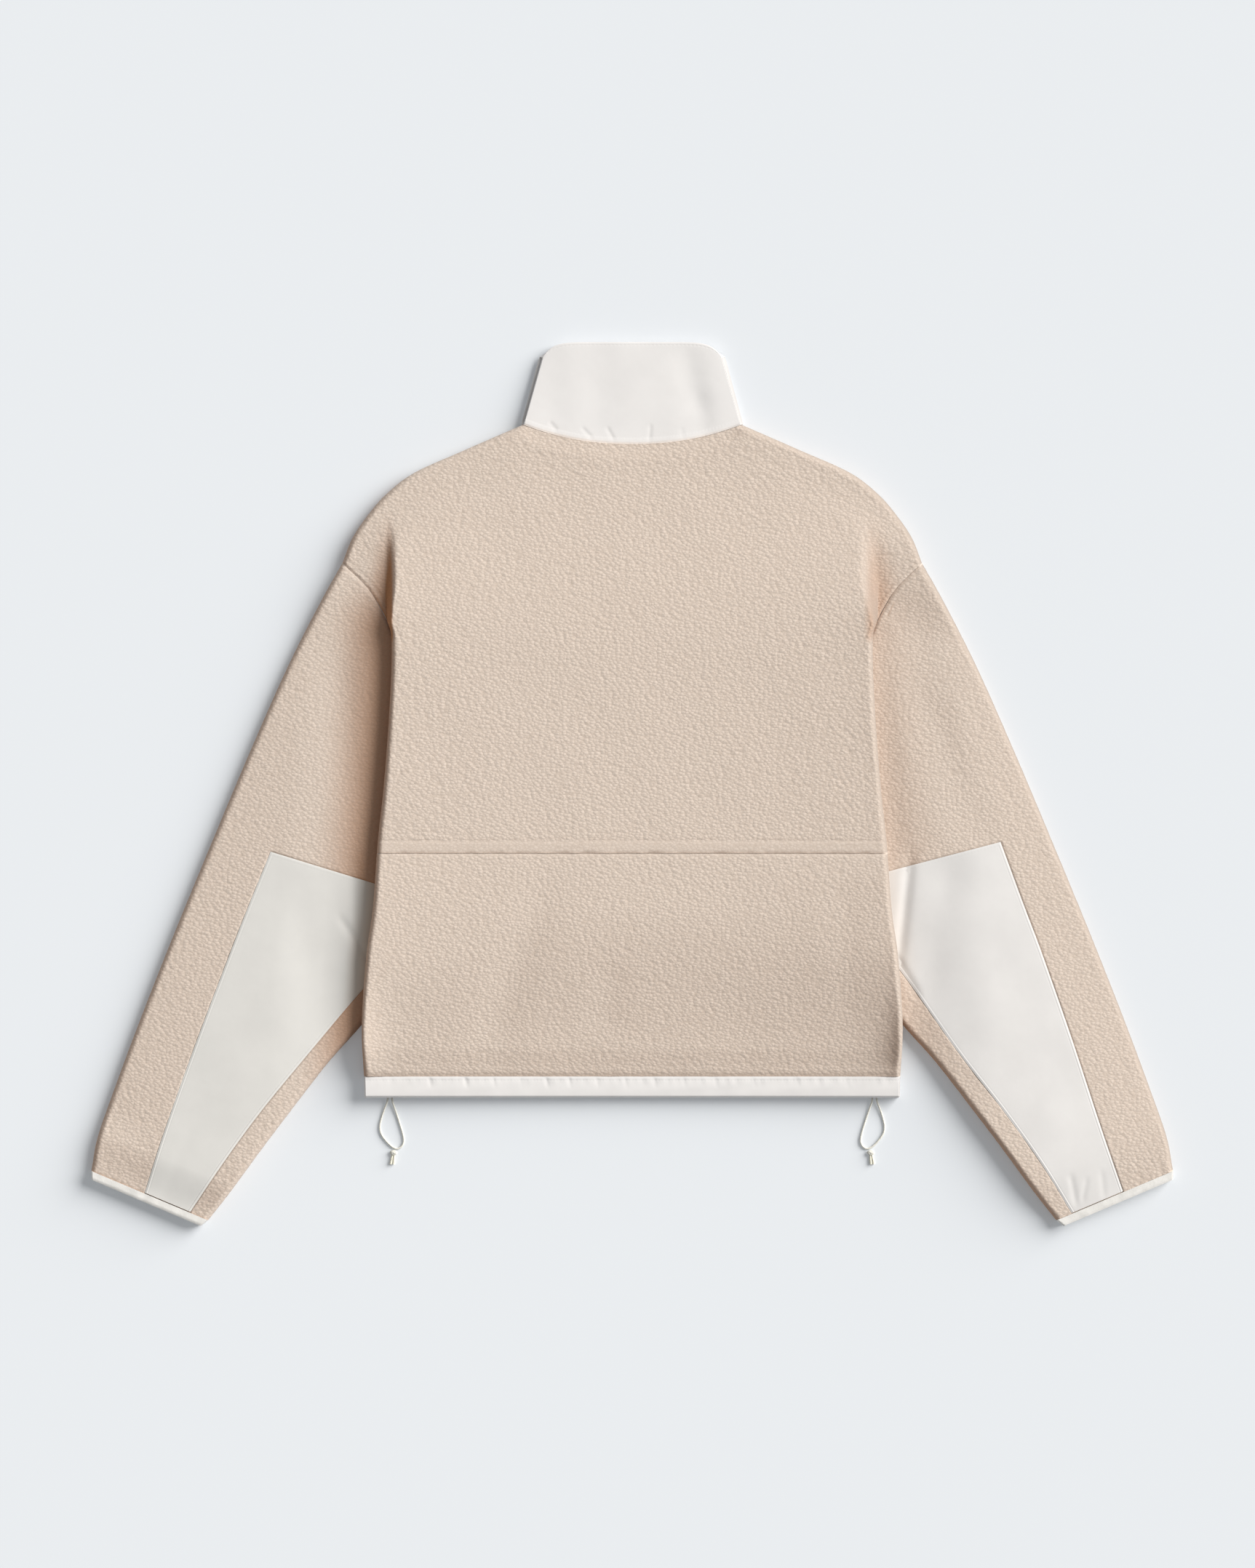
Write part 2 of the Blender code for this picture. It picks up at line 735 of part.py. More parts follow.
def make_studs():
    sides = 20
    for index in range(STUDS):
        mesh = bmesh.new()
        y = STUD_TOP_Y - STUD_PITCH * index
        place = Vector((0.0, y, STUD_LEVEL + STUD_HEIGHT / 2)) * MM
        cap = bmesh.ops.create_cone(
            mesh,
            cap_ends=True,
            segments=sides,
            radius1=STUD_RIM * MM,
            radius2=STUD_RADIUS * MM,
            depth=STUD_HEIGHT * MM,
        )
        bmesh.ops.translate(mesh, verts=cap["verts"], vec=place)
        finished(f"stud_{index + 1}", "stud", mesh)


def make_cord(name, sign):
    data = bpy.data.curves.new(name, "CURVE")
    data.dimensions = "3D"
    data.bevel_depth = CORD_RADIUS * MM
    data.bevel_resolution = 2
    data.use_fill_caps = True
    route = Line(CORD_ROUTE)
    line = data.splines.new("POLY")
    line.points.add(CORD_POINTS - 1)
    for index, point in enumerate(line.points):
        place = route.at(index / (CORD_POINTS - 1))
        point.co = (-place.x * sign * MM, place.y * MM, place.z * MM, 1.0)
    data.materials.append(material("cord"))
    made = bpy.data.objects.new(name, data)
    bpy.context.scene.collection.objects.link(made)


def make_cord_end(name, sign):
    """The knot that closes a loop, with its two cut ends laid together as one tail."""
    knot_x, knot_y = KNOT_PLACE
    run = Vector(TAIL_END) - Vector(KNOT_PLACE)
    mesh = bmesh.new()
    tail = bmesh.ops.create_cube(mesh, size=1.0)
    for point in tail["verts"]:
        if point.co.y > 0:
            point.co.x *= TAIL_NECK
    size = Vector((TAIL_WIDTH, run.length, TAIL_THICKNESS)) * MM
    bmesh.ops.scale(mesh, verts=tail["verts"], vec=size)
    turn = Matrix.Rotation(math.atan2(run.x, -run.y), 3, "Z")
    bmesh.ops.rotate(mesh, verts=tail["verts"], cent=(0, 0, 0), matrix=turn)
    centre = (knot_x + run.x / 2, knot_y + run.y / 2, TAIL_THICKNESS / 2 + TAIL_LEVEL)
    bmesh.ops.translate(mesh, verts=tail["verts"], vec=Vector(centre) * MM)
    bmesh.ops.scale(mesh, verts=mesh.verts, vec=(-sign, 1.0, 1.0))
    guide = finished(f"{name}_tail", "cord", mesh)
    guide.hide_render = True
    guide.display_type = "WIRE"
    mesh = bmesh.new()
    bmesh.ops.create_icosphere(mesh, subdivisions=2, radius=0.5)
    bmesh.ops.scale(mesh, verts=mesh.verts, vec=Vector(KNOT_SIZE) * MM)
    place = Vector((-sign * knot_x, knot_y, KNOT_SIZE[2] / 2 + KNOT_LEVEL)) * MM
    bmesh.ops.translate(mesh, verts=mesh.verts, vec=place)
    knot = finished(name, "cord", mesh)
    union = knot.modifiers.new("tail", "BOOLEAN")
    union.operation = "UNION"
    union.object = guide


def main():
    clear_scene()
    make_back()
    make_fronts()
    make_sleeves()
    make_elbow_panels()
    make_cuffs()
    make_hem_casing()
    make_collar()
    make_plackets()
    make_studs()
    for name, sign in (("left", -1.0), ("right", 1.0)):
        make_cord(f"cord_{name}", sign)
        make_cord_end(f"cord_end_{name}", sign)


main()
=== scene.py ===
"""Dresses the laid fleece jacket: nubby pile, woven trims, stitched seams and elastic cords.

Places are worked out in millimetres, as in the part's source, and become metres where a
mesh is made. The plan repeats the source's lines, apart from the elbow panels' own. On
symmetrical pieces it is the right half's, and the left half mirrors it.
"""

import math

import bmesh
import bpy
import numpy as np
from mathutils import Matrix, Vector


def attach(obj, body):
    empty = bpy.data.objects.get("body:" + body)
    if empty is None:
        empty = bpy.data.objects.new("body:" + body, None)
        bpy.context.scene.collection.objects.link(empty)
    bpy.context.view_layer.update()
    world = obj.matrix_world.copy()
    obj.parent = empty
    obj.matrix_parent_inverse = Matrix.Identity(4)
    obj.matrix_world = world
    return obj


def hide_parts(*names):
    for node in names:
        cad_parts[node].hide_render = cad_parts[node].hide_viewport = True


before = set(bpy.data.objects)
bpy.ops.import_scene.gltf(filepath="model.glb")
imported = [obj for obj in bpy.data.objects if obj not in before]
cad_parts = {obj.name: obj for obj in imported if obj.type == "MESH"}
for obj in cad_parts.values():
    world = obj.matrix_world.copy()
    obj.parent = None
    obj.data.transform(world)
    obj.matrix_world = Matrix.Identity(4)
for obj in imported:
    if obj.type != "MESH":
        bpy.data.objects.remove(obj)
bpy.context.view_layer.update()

MM = 0.001
SEAM = 0.3
CURVED_SEAM = 0.9
HAIR = 0.1  # the gap that still shows in a seam that the pile closes over
FLEECE = 5.0
BODY_DEPTH = 13.4
HEM_DEPTH = 11.6
NECK_DIP = 1.4
SLEEVE_DEPTH = 13.6
SLEEVE_PRESSED = 10.6
CUFF_DEPTH_AT_FLEECE = 10.8
EDGE_RADIUS = 4.5
ON_THE_EDGE = 0.01
WOVEN = 1.2
COLLAR_WALL = 3.0
COLLAR_DEPTH = (9.9, 7.2)
COLLAR_RADIUS = 0.8
CASING_WALL = 3.0
HEM_RADIUS = 1.2
CASING_DEPTH = 9.4
BINDING_WALL = 2.6

SEAM_Y = -58.9
WELT = 9.6
WELT_RISE = 0.8
HEM_Y = -249.3
HEM_END_Y = -267.5
NECK_X, NECK_Y = 93.6, 306.3
BACK_NECK_Y = 289.9
FRONT_NECK_Y = 229.0
COLLAR_CORNER = (76.9, 363.3)
COLLAR_TOP_Y = 377.0
FRONT_TOP_Y = 316.0
FRONT_EDGE_X = 12.9
BACK_NECK_POWER = 2.2
FRONT_NECK_POWER = 2.6
COLLAR_CORNER_POWER = 9.5

RAMP_LOW, RAMP_HIGH = 50.0, 90.0
HEM_REACH = 110.0
RAMP_SHIFT = 8.0
LIFT_TOP_Y, LIFT_FALL = 170.0, 50.0
PANEL_TOP_Y, PANEL_FALL = -48.0, 40.0
TURN_TOP_Y, TURN_FALL = 150.0, 24.0
HEM_EASE, NECK_EASE, CUFF_EASE = 25.0, 16.0, 35.0
PRESSED_BESIDE, SLEEVE_EASE = 8.0, 72.0
COVER_TOP_Y, PRESSED_TOP_Y = 118.0, 129.0
NECK_SHARE = 0.36
STUDS = 6

SHOULDER = (
    (93.6, 306.3), (144.8, 284.0), (186.0, 265.4), (210.2, 246.8), (226.3, 228.2),
    (238.7, 209.6), (247.1, 188.5),
)
SIDE = (
    (247.1, 188.5), (224.1, 165.5), (208.3, 137.6), (204.8, 118.0), (206.5, 67.0),
    (211.4, 0.0), (216.6, -49.0), (220.7, -105.4), (226.3, -146.3), (230.2, -203.4),
    (228.6, HEM_Y),
)
HIDDEN_ARMHOLE = (
    (247.1, 188.5), (224.1, 165.5), (208.3, 137.6), (205.2, 129.0), (186.0, 79.4),
    (167.4, 17.4), (160.0, -49.0),
)
SLEEVE_OUTER = (
    (247.1, 188.5), (266.6, 153.8), (294.8, 98.0), (327.7, 23.6), (359.0, -50.8),
    (389.7, -125.2), (419.1, -199.6), (439.9, -255.4), (455.5, -300.0), (461.3, -329.8),
)
SLEEVE_INNER = (
    (160.0, -49.0), (162.4, -88.0), (177.9, -131.4), (203.4, -169.9), (229.4, -204.0),
    (258.5, -236.8), (287.4, -274.0), (315.6, -311.2), (342.9, -348.4), (361.5, -372.0),
)
CUFF_OUTER = (461.3, -337.3)
CUFF_INNER = (367.7, -377.0)
# Outer and inner edges of the elbow panels. The right sleeve has settled a little differently.
PATCHES = {
    "left": (
        (
            (308.1, -57.7), (328.0, -106.6), (342.5, -143.8), (370.8, -218.2),
            (397.4, -292.6), (415.4, -348.4),
        ),
        (
            (174.0, -99.0), (196.0, -143.0), (228.2, -173.6), (275.0, -228.8),
            (316.2, -279.0), (348.4, -323.0), (376.6, -364.8),
        ),
    ),
    "right": (
        (
            (313.9, -49.4), (335.0, -106.6), (349.0, -143.8), (375.0, -218.2),
            (399.4, -292.6), (418.4, -347.2),
        ),
        (
            (180.0, -84.6), (212.0, -136.0), (240.0, -174.6), (277.6, -228.4),
            (316.2, -278.4), (348.4, -323.4), (374.6, -365.7),
        ),
    ),
}


def placed(name, data):
    made = bpy.data.objects.new(name, data)
    bpy.context.scene.collection.objects.link(made)
    return made


def drawn(name, mesh):
    """The bmesh as mesh data."""
    data = bpy.data.meshes.new(name)
    mesh.to_mesh(data)
    mesh.free()
    return data


# The camera looks straight down and takes in the whole laid jacket with its surroundings.
VIEW_HEIGHT = 1.3367
VIEW_CENTRE = (-0.004, 0.0)
CLOTH_LEVEL = 0.012
LENS, SENSOR = 180.0, 36.0


def sight():
    data = bpy.data.cameras.new("overhead")
    data.sensor_fit = "VERTICAL"
    data.sensor_height = SENSOR
    data.lens = LENS
    data.clip_end = 50.0
    made = placed("overhead", data)
    made.location = (*VIEW_CENTRE, VIEW_HEIGHT * LENS / SENSOR + CLOTH_LEVEL)
    bpy.context.scene.camera = made


KEY_TURN, KEY_HEIGHT = math.radians(30.0), math.radians(26.0)
KEY_SPREAD = math.radians(46.0)
KEY_STRENGTH = 5.3
FILL_STRENGTH = 0.30


def light():
    """One broad lamp from the upper right, and an even fill all round."""
    data = bpy.data.lights.new("key", "SUN")
    data.energy = KEY_STRENGTH
    data.angle = KEY_SPREAD
    data.color = (1.0, 0.985, 0.96)
    level = math.cos(KEY_HEIGHT)
    towards = Vector(
        (level * math.cos(KEY_TURN), level * math.sin(KEY_TURN), math.sin(KEY_HEIGHT))
    )
    placed("key", data).rotation_euler = towards.to_track_quat("Z", "Y").to_euler()
    world = bpy.data.worlds.new("studio")
    world.use_nodes = True
    fill = world.node_tree.nodes["Background"]
    fill.inputs["Color"].default_value = (0.96, 0.985, 1.0, 1.0)
    fill.inputs["Strength"].default_value = FILL_STRENGTH
    bpy.context.scene.world = world
    bpy.context.scene.view_settings.view_transform = "Standard"


# Cloth shading


class Socket:
    """A shader value that takes Python arithmetic."""

    def __init__(self, cloth, socket):
        self.cloth, self.socket = cloth, socket

    def worked(self, operation, *values):
        return self.cloth.node("ShaderNodeMath", {"operation": operation}, *values)

    def __add__(self, other):
        return self.worked("ADD", self, other)

    def __radd__(self, other):
        return self.worked("ADD", other, self)

    def __sub__(self, other):
        return self.worked("SUBTRACT", self, other)

    def __rsub__(self, other):
        return self.worked("SUBTRACT", other, self)

    def __mul__(self, other):
        return self.worked("MULTIPLY", self, other)

    def __rmul__(self, other):
        return self.worked("MULTIPLY", other, self)

    def within(self, low, high):
        """0 below low and 1 above high, with a soft step between them."""
        settings = {"interpolation_type": "SMOOTHSTEP"}
        return self.cloth.node("ShaderNodeMapRange", settings, self, low, high, 0.0, 1.0)


class Cloth:
    """One procedural material, with its constant sockets set directly."""

    def __init__(self, name, **sockets):
        self.material = bpy.data.materials.new(name)
        self.material.use_nodes = True
        self.nodes = self.material.node_tree.nodes
        self.links = self.material.node_tree.links
        self.shader = self.nodes["Principled BSDF"]
        for socket, value in sockets.items():
            self.shader.inputs[socket.replace("_", " ")].default_value = value

    def node(self, kind, settings, *values, output=0, **named):
        made = self.nodes.new(kind)
        for key, value in settings.items():
            setattr(made, key, value)
        for key, value in [*enumerate(values), *named.items()]:
            target = made.inputs[key.replace("_", " ") if isinstance(key, str) else key]
            if isinstance(value, Socket):
                self.links.new(value.socket, target)
            else:
                target.default_value = value
        return Socket(self, made.outputs[output])

    def vector(self, operation, *values, **named):
        return self.node("ShaderNodeVectorMath", {"operation": operation}, *values, **named)

    def place(self):
        """Object coordinates in millimetres."""
        found = self.node("ShaderNodeTexCoord", {}, output="Object")
        return self.vector("SCALE", found, Scale=1000.0)

    def stretched(self, place, scale, turn=(0.0, 0.0, 0.0)):
        settings = {"vector_type": "POINT"}
        return self.node("ShaderNodeMapping", settings, place, Rotation=turn, Scale=scale)

    def noise(self, place, size, detail, output=0):
        kind, scale = "ShaderNodeTexNoise", 1.0 / size
        return self.node(
            kind, {}, output=output, Vector=place, Scale=scale, Detail=detail, Roughness=0.5
        )

    def shifted(self, place, amount, size):
        """The place pushed about by a soft noise."""
        push = self.noise(place, size, 1.0, output="Color")
        centred = self.vector("SUBTRACT", push, (0.5, 0.5, 0.5))
        return self.vector("ADD", place, self.vector("SCALE", centred, Scale=amount))

    def cells(self, place, size, feature):
        kind, settings = "ShaderNodeTexVoronoi", {"feature": feature}
        return self.node(kind, settings, output="Distance", Vector=place, Scale=1.0 / size)

    def attribute(self, name):
        return self.node("ShaderNodeAttribute", {"attribute_name": name}, output="Fac")

    def colour_between(self, share, low, high):
        made = self.nodes.new("ShaderNodeMix")
        made.data_type = "RGBA"
        for key, value in ((0, share), (6, low), (7, high)):
            if isinstance(value, Socket):
                self.links.new(value.socket, made.inputs[key])
            else:
                made.inputs[key].default_value = (*value, 1.0) if key else value
        return Socket(self, made.outputs[2])

    def coloured(self, colour):
        self.links.new(colour.socket, self.shader.inputs["Base Color"])

    def bumped(self, height, distance, strength=1.0):
        normal = self.node(
            "ShaderNodeBump", {}, Height=height, Distance=distance, Strength=strength
        )
        self.links.new(normal.socket, self.shader.inputs["Normal"])


FLEECE_TOP = (0.72, 0.612, 0.528)
# The pile's darker ground, used as painted shade in the gaps between tufts.
FLEECE_GROUND_AND_SHADE = (0.48, 0.375, 0.295)
# Painted shadow colour, for the shade beside the body and the fold and on faces turned away
# from the lamp.
FLEECE_SHADOW_PAINT = (0.46, 0.225, 0.112)
# Painted shade colour that dulls faces turned towards the lamp.
FLEECE_LAMP_SIDE_SHADE = (0.26, 0.22, 0.19)
WOVEN_COLOUR = (0.81, 0.784, 0.767)
# The left panel is darker by painted shade, as its sleeve turns away from the lamp.
PANEL_COLOURS_WITH_SHADE = {"left": (0.735, 0.715, 0.68), "right": (0.775, 0.75, 0.73)}
PANEL_SHADOW_PAINT = (0.62, 0.50, 0.385)  # painted shade with the warm light of the fleece beside it
BINDING_COLOUR = (0.85, 0.825, 0.785)
THREAD_TURN = math.radians(24.0)  # of a panel's threads, along the sleeve
CORD_COLOUR = (0.84, 0.82, 0.74)
TAIL_COLOUR = (0.86, 0.82, 0.69)
TUFT = 2.7  # across one tuft of the pile, in mm
LAMP_SIDE_TONE = 0.4  # of a woven colour, how much is left under painted shade on faces turned towards the lamp


def dimmed(colour, share):
    return tuple(min(1.0, part * share) for part in colour)


def fleece_cloth():
    """Pile in small curled tufts, with painted shade in the broken creases between them, partly
    the pile's darker ground.
    """
    cloth = Cloth(
        "pile_fleece",
        Roughness=0.95,
        Specular_IOR_Level=0.1,
        Sheen_Weight=0.05,
        Sheen_Roughness=0.5,
    )
    place = cloth.stretched(cloth.place(), (0.78, 1.18, 1.0))
    curled = cloth.shifted(place, 0.9, 4.0)
    dome = cloth.cells(curled, TUFT, "F1")
    rim = cloth.cells(curled, TUFT, "DISTANCE_TO_EDGE")
    curls = cloth.noise(curled, 1.4, 1.0)
    relief = ((1.0 - dome) * 0.9 + curls * 0.3) * cloth.attribute("kept")
    cloth.bumped(relief, 0.0011, 0.37)
    # Painted shade in the gaps between tufts and in the mesh's tuft valleys, partly the pile's
    # darker ground.
    gap_shade = 1.0 - rim.within(0.0, 0.22)
    shade = gap_shade * 0.3 + (1.0 - cloth.attribute("tuft")) * 0.05
    pile = cloth.colour_between(shade.within(-0.25, 1.1), FLEECE_TOP, FLEECE_GROUND_AND_SHADE)
    # Painted shadow beside the body and the fold, and on faces turned away from the lamp.
    pile = cloth.colour_between(cloth.attribute("painted_shade"), pile, FLEECE_SHADOW_PAINT)
    # Painted shade that dulls faces turned towards the lamp.
    cloth.coloured(cloth.colour_between(cloth.attribute("lamp_side_shade"), pile, FLEECE_LAMP_SIDE_SHADE))
    return cloth.material


def woven_cloth(name, colour, turn=0.0, shade_attribute="lamp_side_shade", shade_colour=None):
    """Fine plain weave with soft handling marks, a touch darker where they lie low, and painted
    shade in the given shade colour where the given attribute says.
    """
    cloth = Cloth(
        name,
        Roughness=0.62,
        Specular_IOR_Level=0.3,
        Sheen_Weight=0.05,
        Sheen_Roughness=0.4,
    )
    place = cloth.place()
    threads = cloth.stretched(place, (1.0, 1.0, 1.0), (0.0, 0.0, turn))
    waves = []
    for direction in ("X", "Y"):
        settings = {"wave_type": "BANDS", "bands_direction": direction, "wave_profile": "SIN"}
        waves.append(
            cloth.node(
                "ShaderNodeTexWave", settings, output="Fac", Vector=threads, Scale=0.62,
                Distortion=0.25, Detail=1.0,
            )
        )
    soft = cloth.noise(place, 24.0, 3.0)
    cloth.bumped(waves[0] * waves[1] * 0.05 + soft * 0.35, 0.0011, 0.4)
    shades = dimmed(colour, 0.975), dimmed(colour, 1.01)
    weave = cloth.colour_between(soft.within(0.25, 0.75), *shades)
    # Painted shade colour, for the faces that the given attribute marks.
    shade_colour = shade_colour or dimmed(colour, LAMP_SIDE_TONE)
    cloth.coloured(cloth.colour_between(cloth.attribute(shade_attribute), weave, shade_colour))
    return cloth.material


def binding_cloth():
    """Ribbed elastic binding, with painted shade in the low parts of its soft relief and on
    faces turned towards the lamp.
    """
    cloth = Cloth("cuff_binding", Roughness=0.75, Specular_IOR_Level=0.25)
    place = cloth.place()
    fine = cloth.noise(place, 0.9, 2.0)
    soft = cloth.noise(place, 9.0, 2.0)
    cloth.bumped(fine * 0.35 + soft * 0.8, 0.0006, 0.6)
    # Painted shade in the low parts of the rib relief, and on faces turned towards the lamp.
    darker, turn_shade = dimmed(BINDING_COLOUR, 0.92), dimmed(BINDING_COLOUR, LAMP_SIDE_TONE)
    rib = cloth.colour_between(soft.within(0.3, 0.7), darker, BINDING_COLOUR)
    cloth.coloured(cloth.colour_between(cloth.attribute("lamp_side_shade"), rib, turn_shade))
    return cloth.material


def cord_cloth(name, colour):
    """Braided elastic, with its strands crossing on a slant and painted shade in the gaps
    between them.
    """
    cloth = Cloth(name, Roughness=0.7, Specular_IOR_Level=0.25)
    place = cloth.place()
    strands = cloth.cells(cloth.stretched(place, (1.0, 0.6, 1.0), (0.0, 0.0, 0.7)), 0.7, "F1")
    cloth.bumped(1.0 - strands, 0.0003, 0.6)
    # Painted shade in the gaps between the strands.
    cloth.coloured(cloth.colour_between(strands.within(0.3, 0.8), colour, dimmed(colour, 0.82)))
    return cloth.material


def stud_plastic():
    cloth = Cloth(
        "stud_plastic", Roughness=0.35, Specular_IOR_Level=0.5,
        Base_Color=(0.74, 0.71, 0.66, 1.0),
    )
    return cloth.material


# Lines of the cut, read for whole arrays of places at once


def settle(x):
    x = np.clip(x, 0.0, 1.0)
    return x * x * (3.0 - 2.0 * x)


def between(a, b, share):
    return a + (b - a) * share


def bell(off, width):
    return np.exp(-((off / width) ** 2))


def mirrored(place):
    """The same place on the right half, in plan."""
    return np.column_stack([np.abs(place[:, 0]), place[:, 1]])


def signed(place, sign):
    return np.column_stack([place[:, 0] * sign, place[:, 1:]])


def rounded(rows, steps=8):
    rows = np.array(rows, float)
    ends = np.vstack([rows[0] * 2 - rows[1], rows, rows[-1] * 2 - rows[-2]])
    t = (np.arange(steps) / steps)[:, None]
    found = []
    for a, b, c, d in zip(ends, ends[1:], ends[2:], ends[3:]):
        bend = (a * 2 - b * 5 + c * 4 - d) * t + (b * 3 - a - c * 3 + d) * t * t
        found.append(b + (c - a + bend) * (t / 2))
    return np.vstack([*found, rows[-1:]])


class Line:
    def __init__(self, rows, smooth=True):
        self.points = rounded(rows) if smooth else np.array(rows, float)
        steps = np.linalg.norm(np.diff(self.points, axis=0), axis=1)
        self.reach = np.concatenate([[0.0], np.cumsum(steps)])

    def at(self, share):
        goal = np.clip(share, 0.0, 1.0) * self.reach[-1]
        return np.stack([np.interp(goal, self.reach, part) for part in self.points.T], -1)

    def x_at(self, y):
        return np.interp(y, self.points[::-1, 1], self.points[::-1, 0])

    def nearest(self, place):
        best, way = np.full(len(place), 1e9), np.zeros_like(place)
        for a, b in zip(self.points, self.points[1:]):
            run = b - a
            part = np.clip((place - a) @ run / (run @ run), 0.0, 1.0)
            away = np.linalg.norm(place - a - part[:, None] * run, axis=1)
            closer = away < best
            best[closer] = away[closer]
            way[closer] = np.array((run[1], -run[0])) / math.hypot(*run)
        return best, way


class Flipped:
    def __init__(self, line):
        self.line = line

    def nearest(self, place):
        away, way = self.line.nearest(place)
        return away, -way


shoulder, side, armhole = Line(SHOULDER), Line(SIDE), Line(HIDDEN_ARMHOLE)
OFF_ARMHOLE = np.array((0.8, -0.4)) * 0.2
sleeve_outer = Line([np.array(SLEEVE_OUTER[0]) + OFF_ARMHOLE, *SLEEVE_OUTER[1:]])
sleeve_inner = Line([np.array(SLEEVE_INNER[0]) + OFF_ARMHOLE, *SLEEVE_INNER[1:]])
sleeve_covered = Line(HIDDEN_ARMHOLE[:-1] + SLEEVE_INNER)
cuff_start = np.array(SLEEVE_OUTER[-1]), np.array(SLEEVE_INNER[-1])
along_cuff = (cuff_start[1] - cuff_start[0]) / np.linalg.norm(cuff_start[1] - cuff_start[0])


def four_sided(top, bottom, left, right):
    """Places inside four edges, from shares u across and v down."""
    corners = [np.ravel(edge(np.array([end]))) for edge in (top, bottom) for end in (0.0, 1.0)]

    def place(u, v):
        across = top(u) * (1 - v)[:, None] + bottom(u) * v[:, None]
        down = left(v) * (1 - u)[:, None] + right(v) * u[:, None]
        a, b, c, d = corners
        high = a * (1 - u)[:, None] + b * u[:, None]
        low = c * (1 - u)[:, None] + d * u[:, None]
        return across + down - high * (1 - v)[:, None] - low * v[:, None]

    return place


def turned_edge(place, rims, wall, radius=EDGE_RADIUS):
    """How far a face turns down towards its rims, and how far the wall's inner side lies in."""
    drop, inward = np.zeros(len(place)), np.zeros_like(place)
    for line, fullness in rims:
        away, way = line.nearest(place)
        near = np.where(away > ON_THE_EDGE, away, 0.0)
        level = np.clip(1.0 - near / radius, 0.0, 1.0)
        drop = np.maximum(drop, fullness * (1.0 - np.sqrt(1.0 - level * level)))
        reach = np.clip(1.0 - near / max(radius, 1.5 * wall), 0.0, 1.0)
        inward += way * (wall * fullness * reach)[:, None]
    return drop, inward


def off_hem(y, reach):
    """0 at the hem, and 1 from the reach above it on."""
    return settle((y - HEM_Y) / reach)


def body_lift(place):
    x, y = np.abs(place[:, 0]), place[:, 1]
    ramp = between(RAMP_LOW, RAMP_HIGH, off_hem(y, HEM_REACH))
    risen = settle((x - sleeve_covered.x_at(y) + RAMP_SHIFT) / ramp + 1.0)
    begun = settle((LIFT_TOP_Y - y) / LIFT_FALL)
    panel = (WOVEN + SEAM) * settle((PANEL_TOP_Y - y) / PANEL_FALL)
    return (SLEEVE_PRESSED + SEAM + panel) * risen * begun


# The dressed back is fuller than its solid: nearly level from side to side.
MIDDLE_LIFT = 9.5
MIDDLE_TOP_Y, MIDDLE_FALL, MIDDLE_HEM_REACH = 290.0, 180.0, 145.0
EDGE_LIFT = 0.6  # more than the solid's, at its sides
ACROSS_POWER = 2.6  # how the lift passes from the middle to the sides
RIM_POWER = 24  # how closely to its sides the back is held above the fronts
DRAPE_TOP_Y, DRAPE_FALL = 262.0, 130.0
SHOULDER_REACH = 40.0
HEM_RISE = 2.4


def hem_lift(x):
    """How far the dressed hem rises towards its ends, which lie by the sleeves."""
    return HEM_RISE * (x / SIDE[-1][0]) ** 2


def drape(own):
    """How high the dressed back lies over its flat depth."""
    x, y = own[:, 0], own[:, 1]
    level_y = np.clip(y, HEM_Y, COVER_TOP_Y)
    edge_x = side.x_at(level_y)
    solid = body_lift(np.column_stack([edge_x, level_y]))
    edge = between(HEM_RISE, solid + EDGE_LIFT, off_hem(y, HEM_REACH))
    short = (solid - edge + np.sqrt((edge - solid) ** 2 + 1.0)) / 2.0
    fade = settle((DRAPE_TOP_Y - y) / DRAPE_FALL)
    edge = edge * fade
    middle = MIDDLE_LIFT * settle((MIDDLE_TOP_Y - y) / MIDDLE_FALL)
    middle = middle * off_hem(y, MIDDLE_HEM_REACH)
    by_shoulder, _ = shoulder.nearest(own)
    share = np.minimum(1.0, x / edge_x)
    across = share**ACROSS_POWER
    at_rim = short * fade * share**RIM_POWER
    return (middle + (edge - middle) * across + at_rim) * settle(by_shoulder / SHOULDER_REACH)


# A fold runs up from under each arm: outside it the back comes down to the sleeve.
FOLD_FOOT, FOLD_LEAN = (204.6, 134.0), 0.012
FOLD_TOP_Y, FOLD_FADE = 240.0, 50.0
FOLD_WIDTHS = {"left": 9.0, "right": 17.0}  # at its soft upper end
FOLD_SOFT_Y = 128.0  # the fold grows wider and softer from here up


def off_fold(place):
    """How far outside the line of the fold each place is."""
    return np.abs(place[:, 0]) - FOLD_FOOT[0] - (place[:, 1] - FOLD_FOOT[1]) * FOLD_LEAN


def past_fold(place):
    """0 on the back's own level, and 1 where it lies at the sleeve's."""
    y = place[:, 1]
    shift = EDGE_RADIUS * settle((y - 114.0) / 10.0)
    softer = np.where(place[:, 0] < 0, FOLD_WIDTHS["left"], FOLD_WIDTHS["right"])
    width = between(EDGE_RADIUS, softer, settle((y - FOLD_SOFT_Y) / 50.0))
    level = np.clip((off_fold(place) - shift) / width + 1.0, 0.0, 1.0)
    sharp = 1.0 - np.sqrt(1.0 - level * level)
    shape = between(sharp, settle(level), settle((y - FOLD_SOFT_Y) / 60.0))
    return shape * settle((FOLD_TOP_Y - y) / FOLD_FADE) * settle((y - 122.0) / 12.0)


# Painted shadow in the pile's colour beside the body and the fold, much more on the left side,
# where the body's shadow falls.
BODY_SHADOW_PAINT, BODY_SHADOW_REACH = {"left": 0.78, "right": 0.12}, 60.0
FOLD_SHADOW_PAINT = {"left": 0.78, "right": 0.5}


